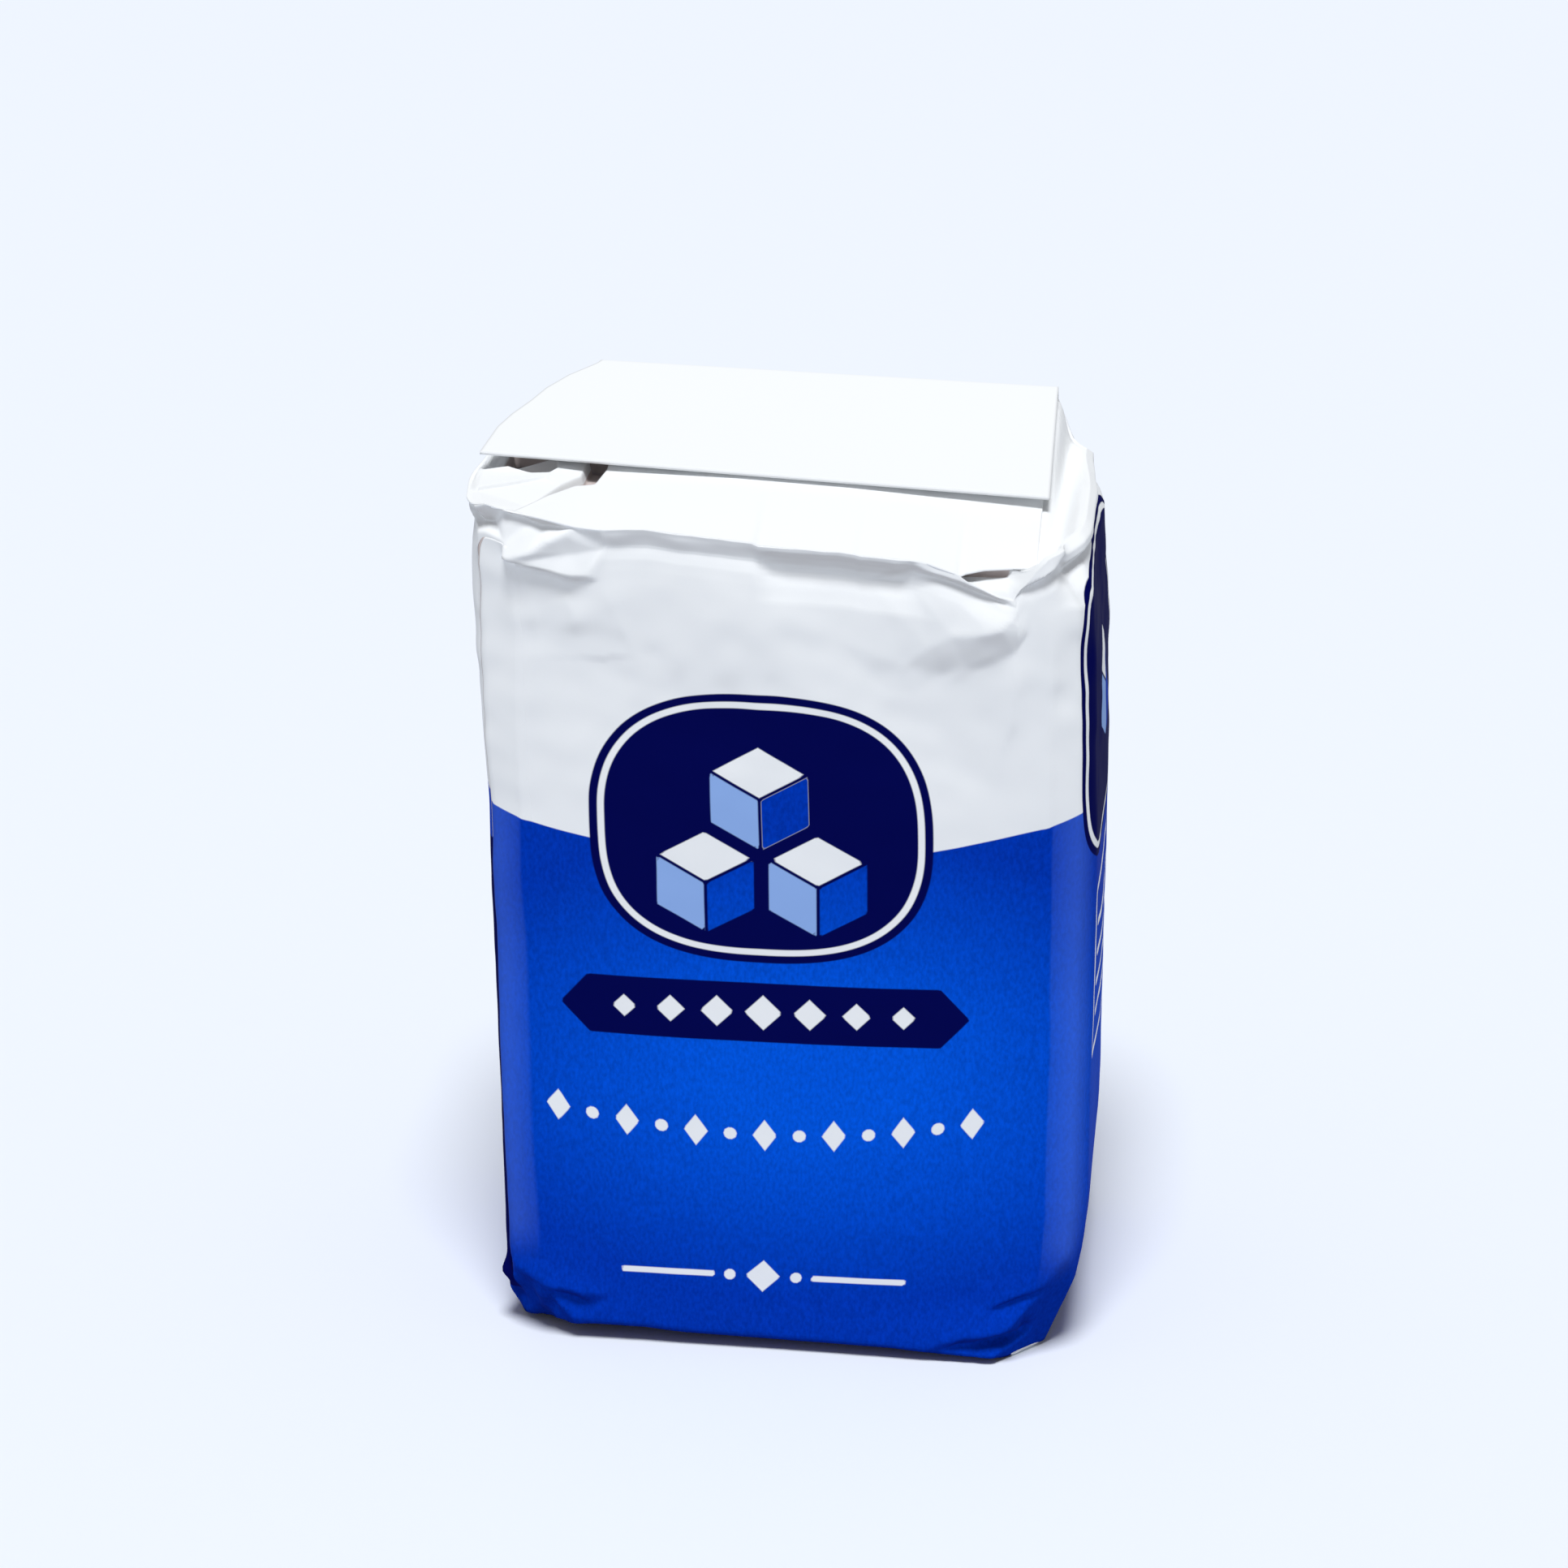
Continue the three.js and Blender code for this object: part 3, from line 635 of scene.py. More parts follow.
def pocket_rows(mouth, outward, rim, crest_inset, on_front):
    """Rows inside the pinched pocket, from the crest up to its upper lip, and that lip's height.

    They climb straight to the slit, then straight to the lip, while they go in by the pocket's profile.
    Where the rim isn't pinched they only draw in a little from the crest.
    """
    x, y = mouth.T
    pinch = within(*POCKET_SPAN, x) * on_front
    depth = np.maximum(np.where(y < 0, along(POCKET_TOP, x), rim) - rim, 0.0) * pinch
    opening = np.minimum(depth / 1.5, 1.0)
    share, inset = between(POCKET, np.linspace(0.2, len(POCKET) - 1, POCKET_ROWS)).T[..., None]
    inset = mix(crest_inset, inset, opening) + 0.5 * share
    upper = rim + depth
    slit = np.clip(upper - SLIT_DROP, rim, upper)
    to_lip = mix(slit, upper - LIP_ROLL * opening, (share - SLIT_SHARE) / (1 - SLIT_SHARE))
    height = np.where(share < SLIT_SHARE, mix(rim, slit, share / SLIT_SHARE), to_lip)
    return add_height(mouth - inset[..., None] * outward, height), upper


def places_round(points):
    """Place of each point round the paper of its own row, from the middle of the front."""
    steps = np.linalg.norm(np.diff(points[..., :2], axis=1, append=points[:, :1, :2]), axis=-1)
    passed = np.cumsum(steps, axis=1) - steps
    whole = steps.sum(axis=1, keepdims=True)
    return points[:, :1, 0] + passed - whole * (passed > whole / 2)


def press_flat(points, direction, on):
    """Moves whatever stands out beyond a facet level onto it."""
    normal = np.array(direction) / np.linalg.norm(direction)
    beyond = np.maximum((points - np.array(on)) @ normal, 0.0)
    level = normal * (1, 1, 0)
    return points - beyond[..., None] * level / (level @ level)


def tuck_heels(heel, u, outward):
    """The heels' rows with their corners pressed flat and the paper below the seam crumpled."""
    for direction, on in TUCKS:
        heel = press_flat(heel, direction, on)
    up = heel[..., 2]
    tucked = ease(13, 8, up) * ease(-41, -44, u) * ease(-60, -54, u)
    crumple = 0.4 * tucked * seeded_waves(u, up, 12, 3.0, 7.0, 5)
    crumple = crumple + 1.5 * hump(2.0, 2.0, past_seam(u, up)) * hump(10.8, 2.2, up)
    return heel + crumple[..., None] * add_height(outward, 0.0)


def paper_height(points, crest_row, foot_end):
    """Height of each point up the paper: its own height up to the crest, then the length of paper past it.

    The underside is below the print. The foot's rows are just inside it, apart from a bare spot at the
    front right corner.
    """
    climb = np.linalg.norm(np.diff(points[crest_row:], axis=0), axis=-1)
    up = points[..., 2].copy()
    up[crest_row + 1:] = up[crest_row] + np.cumsum(climb, axis=0)
    foot = points[BASE_ROWS:foot_end]
    bare = hump(44.5, 2.0, foot[..., 0]) * (wall_outline(MOUTH_HEIGHT)[0, :, 1] < -20)
    up[:BASE_ROWS] = -3.0
    up[BASE_ROWS:foot_end] = mix(1.0, -3.0, bare)
    return up


def bag_surface():
    """The swollen tube as rows of points from the middle of the base to the middle of the top.

    Each row is an outline round the tube. The base rows spread from the middle of the base and the foot's
    rows turn up to the bottom edge; the wall rows run straight up to below the rim; the rim's rows follow
    its lip, the pocket's rows open where the front rim is pinched, and the top rows shrink to the middle
    of the top. Then the foot of the front comes forward, the walls get their relief and the bottom corners
    are tucked. Returns the points, (rows, columns, 3), their heights up the paper and the crest's row.
    """
    mouth = wall_outline(MOUTH_HEIGHT)[0]
    outward = mouth - wall_outline(MOUTH_HEIGHT, 1.0)[0]
    x, y = mouth.T
    on_front = ease(6.0, 0.0, edge_gaps(x, y)[0])
    lift = blend_edges(x, y, [along(EDGE_LIFT, x), SIDE_LIFT, BACK_LIFT, SIDE_LIFT])
    rim = rim_height(x, y) + 0.12 * seeded_waves(ROUND, 0.0, 16, 2.5, 9.0, 21)

    base = base_rows(mouth, lift)
    wall = wall_outline(WALL_LEVELS * (MOUTH_HEIGHT - RIM_DEPTH))
    lip, crest_inset = lip_rows(mouth, outward, wall[-1], rim, on_front)
    wall = add_height(wall, lift + WALL_LEVELS[:, None] * (rim - RIM_DEPTH - lift))
    pocket, upper = pocket_rows(mouth, outward, rim, crest_inset, on_front)
    flat = mix(np.array(TOP_MIDDLE), pocket[-1, :, :2], TOP_SCALE[:, None, None])
    top = add_height(flat, top_height(flat[..., 0], flat[..., 1], upper))
    points = np.concatenate([base, wall, lip, pocket, top])
    crest_row = len(base) + len(wall) + len(lip) - 1

    low = points[:crest_row]
    forward = along(FRONT_FOOT, low[..., 0]) * (low[..., 1] < 0) * np.clip(-outward[:, 1], 0, 1) ** 2
    forward[:BASE_ROWS] *= BASE_SCALE[:, None] ** 3
    low[..., 1] -= forward * ease(FRONT_FOOT_HEIGHT, 0.0, low[..., 2])

    u = places_round(points)
    walls = slice(BASE_ROWS + 2, crest_row + 1)
    relief = wall_relief(u[walls], points[walls, :, 2], rim - points[walls, :, 2])
    points[walls, :, :2] += relief[..., None] * outward
    heel = slice(BASE_ROWS, BASE_ROWS + HEEL_ROWS)
    points[heel] = tuck_heels(points[heel], u[heel], outward)
    points[BASE_ROWS:, :, 2] = np.maximum(points[BASE_ROWS:, :, 2], FLOOR_GAP)
    return points, paper_height(points, crest_row, len(base)), crest_row


def boxed(x, y, half_x, half_y):
    """Signed distance into a rectangle, positive inside."""
    dx = np.abs(x) - half_x
    dy = np.abs(y) - half_y
    outside = np.hypot(np.maximum(dx, 0), np.maximum(dy, 0))
    return -(outside + np.minimum(np.maximum(dx, dy), 0))


def rounded_panel(x, y, half_x, half_y, power):
    """Signed distance into a superellipse, |x/a|^n + |y/b|^n = 1, measured towards its middle."""
    level = (np.abs(x / half_x) ** power + np.abs(y / half_y) ** power) ** (1 / power)
    return np.hypot(x, y) * (1 / np.maximum(level, 1e-3) - 1)


def lozenge(x, y, half):
    """Signed distance into a square set on its corner, |x| + |y| = half."""
    return (half - np.abs(x) - np.abs(y)) * 0.7


def sugar_cube(x, y, side):
    """Signed distances into the top, left and right faces of a cube drawn corner on, at 30 degrees, with
    half a line's width left bare between them."""
    half = 0.866 * side
    line = 0.3
    top = (1 - np.abs(x) / half - np.abs(y - side / 2) / (side / 2)) * 0.45 * side - line
    slope = np.abs(x) * 0.577
    wall = np.minimum(slope - y, y - slope + side) * 0.866 - line
    left = np.minimum.reduce([wall, -x - line, half + x])
    right = np.minimum.reduce([wall, x - line, half - x])
    return top, left, right


def print_fields(u, v):
    """Signed distances, in millimetres, into the printed blue, navy, pale blue and white shapes, into the
    outlines that a white keyline follows, and into bare inner paper.

    The design repeats on the front and the back: a rounded panel of sugar cubes over a pointed band of
    lozenges, a curved row of lozenges and dots, and a rule. Each side between them has a tall panel with
    one cube and a ruled box. A navy margin under the seam's edge, on the blue, is painted shade beside the
    lifted edge.
    """
    first = np.cumsum(np.add(WALL_STEPS, CORNER_STEPS))
    right, back, left = (ROUND[start + column] for start, column in zip(first, PRINT_COLUMNS))
    x = wrap(u + PRINT_SHIFT)
    x = np.where(np.abs(x) < GIRTH / 4, x, wrap(u - back))
    s = np.where(wrap(u) > 0, wrap(u - right), wrap(u - left))
    from_band = np.abs(v - BAND_UP)

    blue = np.minimum(99.0 + 0.0031 * x * x - v, v)
    panel = rounded_panel(x, v - PANEL_UP, 30.5, 25.5, 2.6)
    side_panel = rounded_panel(s, v - SIDE_PANEL_UP, 28.5, 28.0, 5.0)
    band = np.minimum(5.8 - from_band, (37.0 - np.abs(x) - 0.9 * from_band) * 0.74)
    # Painted shade: a navy strip on the left side just past the seam's free edge, on the blue
    margin = np.minimum.reduce([-wrap(u) - 54.0, 60.0 + wrap(u), 98.0 - v, v - 7.5])
    cubes = [sugar_cube(x - at_x, v - at_v, CUBE_SIDE) for at_x, at_v in CUBES]
    cubes.append(sugar_cube(s, v - SIDE_CUBE_UP, SIDE_CUBE_SIDE))
    lit, pale, shade = np.maximum(np.maximum.reduce(cubes), NO_PRINT)
    blue = np.maximum(blue, shade)
    navy = np.minimum(np.maximum.reduce([panel, side_panel, band, margin]), -shade)

    place = np.round(x / GEM_PITCH)
    gems = lozenge(x - GEM_PITCH * place, from_band, 3.4 - 0.4 * np.abs(place))
    gems = np.where(np.abs(place) <= 3, gems, PAST_LAST)
    place = np.round(x / PITCH)
    along_row = x - PITCH * place
    above_row = v - ROW_UP - 0.0026 * x * x
    tall_gems = (3.1 - 1.4 * np.abs(along_row) - np.abs(above_row)) * 0.6
    row = np.where(place % 2 == 0, tall_gems, 1.2 - np.hypot(along_row, above_row))
    row = np.where(np.abs(place) <= 6, row, PAST_LAST)
    rule = np.minimum.reduce([0.6 - np.abs(v - RULE_UP), 27.0 - np.abs(x), np.abs(x) - 9.2])
    knot = lozenge(x, v - RULE_UP, 3.3)
    beads = 1.1 - np.hypot(np.abs(x) - PITCH, v - RULE_UP)
    box = boxed(s, v - BOX_UP, 20.0, 17.0)
    lines = np.minimum(box - 3.0, 0.7 - np.abs((v - BOX_UP) % 6.0 - 3.0))
    white = np.maximum.reduce([lit, gems, row, rule, knot, beads, lines])
    keyline = np.maximum.reduce([panel - 1.5, side_panel - 1.5, box])
    return dict(zip(PRINTS, (blue, navy, pale, white, keyline, np.full(np.shape(x), NO_PRINT))))


def inner_face(points):
    """How far the bag's paper has turned in below its rim: inside the pocket and below the gusset plies."""
    # More than 4 mm below the plies the inner face is coloured towards a dark violet grey, as painted shade
    x, y, z = np.moveaxis(points, -1, 0)
    in_pocket = np.where(x < 42.5, np.minimum(-28.8 - y, y + 31.0), NO_PRINT)
    below_plies = np.where((np.abs(y) < 30) & (x > -54), 161.0 - z, NO_PRINT)
    inside = np.minimum(z - 140.0, np.where(x > 28, in_pocket, below_plies))
    return np.where(x > 44, NO_PRINT, inside)


def corner_sheen_bands(u, v):
    """Distance, in millimetres, into the bands round the four upright corners where the blue is coloured
    lighter and violet as a painted sheen, each with a sharp start at the front or back crease."""
    half = GIRTH / 2
    past = np.abs((u + half / 2) % half - half / 2) - 46.6
    return np.minimum.reduce([6.0 * past, 2.6 + 0.7 * past, 0.9 * (13.0 - past)]) * ease(12, 26, v)


def facing_down(points):
    """How far each point of a tube of rows faces down, 0 to 1, from the cross product of its steps, smoothed
    over its neighbours."""
    step = np.roll(points, -1, axis=1) - np.roll(points, 1, axis=1)
    normal = np.cross(step, np.gradient(points, axis=0))
    tilt = normal[..., 2] / np.maximum(np.linalg.norm(normal, axis=-1), 1e-6)
    tilt[1:-1] = (tilt[:-2] + 2 * tilt[1:-1] + tilt[2:]) / 4
    tilt = (np.roll(tilt, 1, axis=1) + 2 * tilt + np.roll(tilt, -1, axis=1)) / 4
    return np.clip(-2.0 * tilt - 0.1, 0.0, 1.0)


def unit_grid(rows, columns):
    """Parameters of a sheet, from 0 to 1: a column down its rows and a row across its columns."""
    return np.linspace(0, 1, rows)[:, None], np.linspace(0, 1, columns)[None, :]


def tube_faces(rows, columns):
    """Quads between rows that close round the tube, with a fan to a point at each end."""
    k = np.arange(columns)
    after = (k + 1) % columns
    r = np.arange(rows - 1)[:, None] * columns
    quads = np.stack([r + k, r + after, r + after + columns, r + k + columns], axis=-1)
    quads = quads.reshape(-1, 4).tolist()
    first = rows * columns
    last = (rows - 1) * columns
    quads += np.stack([np.full(columns, first), after, k], axis=-1).tolist()
    quads += np.stack([np.full(columns, first + 1), last + k, last + after], axis=-1).tolist()
    return quads


def sheet_faces(rows, columns):
    """Quads of a closed sheet: an upper grid, a lower grid after it and the edge between them."""
    grid = np.arange(rows * columns).reshape(rows, columns)
    upper = np.stack([grid[:-1, :-1], grid[:-1, 1:], grid[1:, 1:], grid[1:, :-1]], axis=-1).reshape(-1, 4)
    lower = upper[:, ::-1] + rows * columns
    edge = np.concatenate([grid[0, :-1], grid[:-1, -1], grid[-1, :0:-1], grid[:0:-1, 0]])
    after = np.roll(edge, -1)
    rim = np.stack([edge, edge + rows * columns, after + rows * columns, after], axis=-1)
    return np.concatenate([upper, lower, rim]).tolist()


def add_piece(context, name, points, faces, fields):
    """A paper piece from points in millimetres, faces and point fields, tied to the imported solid."""
    mesh = bpy.data.meshes.new(name)
    mesh.from_pydata((points * MM).tolist(), [], faces)
    for field, values in fields.items():
        layer = mesh.attributes.new(field, "FLOAT", "POINT")
        layer.data.foreach_set("value", np.ascontiguousarray(values, np.float32))
    mesh.shade_smooth()
    mesh.update()
    mesh.materials.append(paper_material(context))
    piece = bpy.data.objects.new(name, mesh)
    context.scene.collection.objects.link(piece)
    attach(piece, "root")
    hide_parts(NODE)


def add_sheet(context, name, upper, lower, fields):
    """A closed sheet from its upper and lower grids of points. A field it isn't given has no print."""
    layers = np.stack([upper, lower])
    values = {field: NO_PRINT for field in PRINTS} | fields
    values = {field: np.broadcast_to(value, layers.shape[:3]).ravel() for field, value in values.items()}
    add_piece(context, name, layers.reshape(-1, 3), sheet_faces(*upper.shape[:2]), values)


def linear(hex_colour):
    """sRGB hex as linear RGBA."""
    srgb = np.array([int(hex_colour[i:i + 2], 16) for i in (1, 3, 5)]) / 255.0
    rgb = np.where(srgb <= 0.04045, srgb / 12.92, ((srgb + 0.055) / 1.055) ** 2.4)
    return (*rgb.tolist(), 1.0)


def add_node(tree, kind, inputs=(), **settings):
    """Adds a node, sets its properties, and links or sets its inputs by name or number."""
    made = tree.nodes.new(kind)
    for key, value in settings.items():
        setattr(made, key, value)
    for key, value in dict(inputs).items():
        if isinstance(value, bpy.types.NodeSocket):
            tree.links.new(value, made.inputs[key])
        else:
            made.inputs[key].default_value = value
    return made


def printed_paper(look):
    """White kraft paper with a satin coat, offset printed in blues.

    To the eye it is a matt white sheet with a saturated, faintly mottled ink. Light and shade are painted
    on it too: the blue is coloured darker towards the edges of its field and lighter and violet along the
    upright corners as a painted sheen, and ink and paper are coloured darker where they face down in a
    fold. The uncoated inner face is browner, and deep in a fold it is coloured darker as painted shade. In
    a colour Mix, input 0 is the factor and inputs 6 and 7 are the colours; in a Map Range, inputs 1 to 4
    are the old and the new range.
    """
    material = bpy.data.materials.new("Printed Kraft Paper")
    material.use_nodes = True
    tree = material.node_tree
    tree.nodes.clear()
    place = add_node(tree, "ShaderNodeTexCoord").outputs["Object"]
    fields = {name: add_node(tree, "ShaderNodeAttribute", attribute_name=name).outputs["Fac"]
              for name in (*PRINTS, "painted_fold_shade", "corner_sheen")}
    navy = linear(look.navy)
    white = linear(look.paper)

    # Ink mottle of 0.6 by 1.1 mm, drawn coarser than real ink's so that it shows
    grain = add_node(tree, "ShaderNodeMapping", {
        "Vector": place, "Scale": (1 / (0.6 * MM), 1 / (0.6 * MM), 1 / (1.1 * MM))})
    mottle = add_node(tree, "ShaderNodeTexNoise", {"Vector": grain.outputs[0], "Scale": 1.0, "Detail": 3.0})
    ink = add_node(tree, "ShaderNodeMapRange", {0: mottle.outputs[0], 1: 0.3, 2: 0.7, 3: 0.84, 4: 1.16})
    rough = add_node(tree, "ShaderNodeMapRange", {0: mottle.outputs[0], 1: 0.3, 2: 0.7, 3: 0.42, 4: 0.58})

    # Blue, coloured bright in the middle of its field and darker towards its edges as painted light and
    # shade, with mottled ink, and coloured lighter and violet along the corners as a painted sheen
    across, up = (1 / (reach * MM) for reach in PAINTED_LIGHT_REACH)
    middle = add_node(tree, "ShaderNodeMapping", {
        "Vector": place, "Location": (-PAINTED_LIGHT_MIDDLE[0] * MM * across, 0.0, -PAINTED_LIGHT_MIDDLE[1] * MM * up),
        "Scale": (across, 0.0, up)})
    painted_light = add_node(tree, "ShaderNodeTexGradient", {0: middle.outputs[0]}, gradient_type="SPHERICAL")
    bright = add_node(tree, "ShaderNodeMapRange", {0: painted_light.outputs[1], 1: 0.0, 2: 0.75})
    blue = add_node(tree, "ShaderNodeMix", {
        0: bright.outputs[0], 6: linear(look.blue_in_shade), 7: linear(look.blue)}, data_type="RGBA")
    blue = add_node(tree, "ShaderNodeMix", {0: 1.0, 6: blue.outputs[2], 7: ink.outputs[0]}, data_type="RGBA",
                    blend_type="MULTIPLY")
    painted_sheen = add_node(tree, "ShaderNodeMapRange", {0: fields["corner_sheen"], 1: 0.0, 2: 7.0, 3: 0.0, 4: 0.24},
                    interpolation_type="SMOOTHSTEP")
    blue = add_node(tree, "ShaderNodeMix", {0: painted_sheen.outputs[0], 6: blue.outputs[2], 7: linear(look.painted_sheen)},
                    data_type="RGBA")

    # Painted shade: ink and paper are coloured darker where they face down in a fold, the blue towards navy
    # and the paper towards grey
    shaded = add_node(tree, "ShaderNodeMath", {0: fields["painted_fold_shade"], 1: 0.7}, operation="MULTIPLY")
    blue = add_node(tree, "ShaderNodeMix", {0: shaded.outputs[0], 6: blue.outputs[2], 7: navy},
                    data_type="RGBA")
    shaded = add_node(tree, "ShaderNodeMath", {0: fields["painted_fold_shade"], 1: 0.5}, operation="MULTIPLY")
    paper = add_node(tree, "ShaderNodeMix", {0: shaded.outputs[0], 6: white, 7: linear(look.painted_shade_grey)},
                     data_type="RGBA")

    # Keyline, half its width either side of a line just inside its outline, and the inner face, coloured
    # darker deep in a fold as painted shade
    past = add_node(tree, "ShaderNodeMath", {0: fields["keyline"], 1: KEYLINE / 2}, operation="SUBTRACT")
    away = add_node(tree, "ShaderNodeMath", {0: past.outputs[0]}, operation="ABSOLUTE")
    inside = add_node(tree, "ShaderNodeMath", {0: KEYLINE / 2, 1: away.outputs[0]}, operation="SUBTRACT")
    fields["keyline"] = inside.outputs[0]
    deep = add_node(tree, "ShaderNodeMapRange", {0: fields["inner_paper_and_shade"], 1: 4.0, 2: 7.0})
    inner = add_node(tree, "ShaderNodeMix", {0: deep.outputs[0], 6: linear(look.inner), 7: linear(look.deep)},
                     data_type="RGBA")

    # Prints laid one over the other, each with an edge 0.24 mm soft
    colour = paper.outputs[2]
    tints = (blue.outputs[2], navy, linear(look.pale), white, white, inner.outputs[2])
    for name, tint in zip(PRINTS, tints):
        mask = add_node(tree, "ShaderNodeMapRange", {0: fields[name], 1: -0.12, 2: 0.12})
        layer = add_node(tree, "ShaderNodeMix", {0: mask.outputs[0], 6: colour, 7: tint}, data_type="RGBA")
        colour = layer.outputs[2]

    # Fibres of 0.5 mm, coarser than the real ones so that they show
    fibre = add_node(tree, "ShaderNodeTexNoise", {"Vector": place, "Scale": 1 / (0.5 * MM), "Detail": 2.0})
    bump = add_node(tree, "ShaderNodeBump", {
        "Height": fibre.outputs[0], "Strength": 0.12, "Distance": 0.05 * MM})
    shader = add_node(tree, "ShaderNodeBsdfPrincipled", {
        "Base Color": colour, "Roughness": rough.outputs[0], "IOR": 1.45, "Specular IOR Level": 0.0,
        "Sheen Weight": 0.02, "Sheen Roughness": 0.3, "Normal": bump.outputs[0]})
    add_node(tree, "ShaderNodeOutputMaterial", {"Surface": shader.outputs[0]})
    return material


def paper_material(context):
    """The printed paper, made once and shared by all the pieces."""
    made = bpy.data.materials.get("Printed Kraft Paper")
    return made or printed_paper(context.scene.sugar_look)


def look_rotation(ahead):
    """Euler turn of a lamp or camera that looks along a direction with its top up."""
    return Vector(ahead).to_track_quat("-Z", "Y").to_euler()


class BagLook(bpy.types.PropertyGroup):
    """Colours of the printed paper, as sRGB hex."""

    paper: bpy.props.StringProperty(name="Paper", description="Bare paper", default="#F1F3F5")
    inner: bpy.props.StringProperty(name="Inside", description="Uncoated inner face", default="#CBBFBC")
    # Painted shade: the inner face deep in a fold
    deep: bpy.props.StringProperty(name="Deep inside", description="Inner face in a fold", default="#5A4E66")
    # Painted shade: the grey that paper facing down in a fold is coloured towards
    painted_shade_grey: bpy.props.StringProperty(
        name="Shaded paper", description="Paper that faces down in a fold", default="#8C8480")
    # Painted sheen: the lighter, violet blue along the upright corners
    painted_sheen: bpy.props.StringProperty(name="Worn blue", description="Blue rubbed at corners", default="#6490FC")
    blue: bpy.props.StringProperty(name="Blue", description="Blue in mid field", default="#0357DD")
    # Painted shade: the blue towards the edges of its field
    blue_in_shade: bpy.props.StringProperty(
        name="Deep blue", description="Blue round the edges of its field", default="#0236B0")
    pale: bpy.props.StringProperty(name="Pale blue", description="Printed pale blue", default="#8FB0E8")
    # Navy is printed, and is also the colour painted for shade on blue in folds, on the lowest foot rows and
    # along the seam
    navy: bpy.props.StringProperty(name="Navy", description="Printed navy", default="#05094E")


class StageLook(bpy.types.PropertyGroup):
    """Camera, light and floor."""

    lens: bpy.props.FloatProperty(
        name="Lens", description="Focal length on a 36 mm sensor", default=104.35, unit="CAMERA")
    azimuth: bpy.props.FloatProperty(
        name="Azimuth", description="Turn of the camera about the bag", default=math.radians(5.887),
        subtype="ANGLE")
    elevation: bpy.props.FloatProperty(
        name="Elevation", description="Height of the view above level", default=math.radians(22.93),
        subtype="ANGLE")
    key: bpy.props.FloatProperty(name="Key light", description="Strength of the key light", default=2.95)
    key_width: bpy.props.FloatProperty(
        name="Key width", description="Angle that the key light fills", default=math.radians(18),
        subtype="ANGLE")
    fill: bpy.props.FloatProperty(name="Fill light", description="Light from all round", default=0.21)
    floor: bpy.props.StringProperty(name="Floor", description="Floor colour, sRGB hex", default="#ECF1FA")


class SUGARBAG_OT_body(bpy.types.Operator):
    """Builds the swollen paper tube with its base, walls, rim and tucked top."""

    bl_idname = "sugarbag.body"
    bl_label = "Swollen Bag"

    def execute(self, context):
        points, up, crest_row = bag_surface()
        u = np.broadcast_to(ROUND, up.shape)
        fields = print_fields(u, up)
        # Inner face above the crest, coloured darker deep below the plies as painted shade
        fields["inner_paper_and_shade"][crest_row + 1:] = inner_face(points[crest_row + 1:])
        # Painted shade: the lowest rows of the foot, which lie in the bag's own shade, are coloured navy
        foot = slice(BASE_ROWS, BASE_ROWS + 3)
        fields["navy_print"][foot] = up[foot]
        # Painted shade where the paper faces down, none on the underside or on the bare spot of the foot
        fields["painted_fold_shade"] = facing_down(points)
        fields["painted_fold_shade"][:BASE_ROWS] = 0.0
        fields["painted_fold_shade"][foot] *= up[foot] > 0
        # Painted sheen along the upright corners
        fields["corner_sheen"] = corner_sheen_bands(u, up)
        ends = np.array([(0.0, 0.0, 0.0), (*TOP_MIDDLE, points[-1, :, 2].mean())])
        verts = np.concatenate([points.reshape(-1, 3), ends])
        values = {k: np.concatenate([field.ravel(), [NO_PRINT, NO_PRINT]]) for k, field in fields.items()}
        add_piece(context, "bag_body", verts, tube_faces(*up.shape), values)
        return {"FINISHED"}


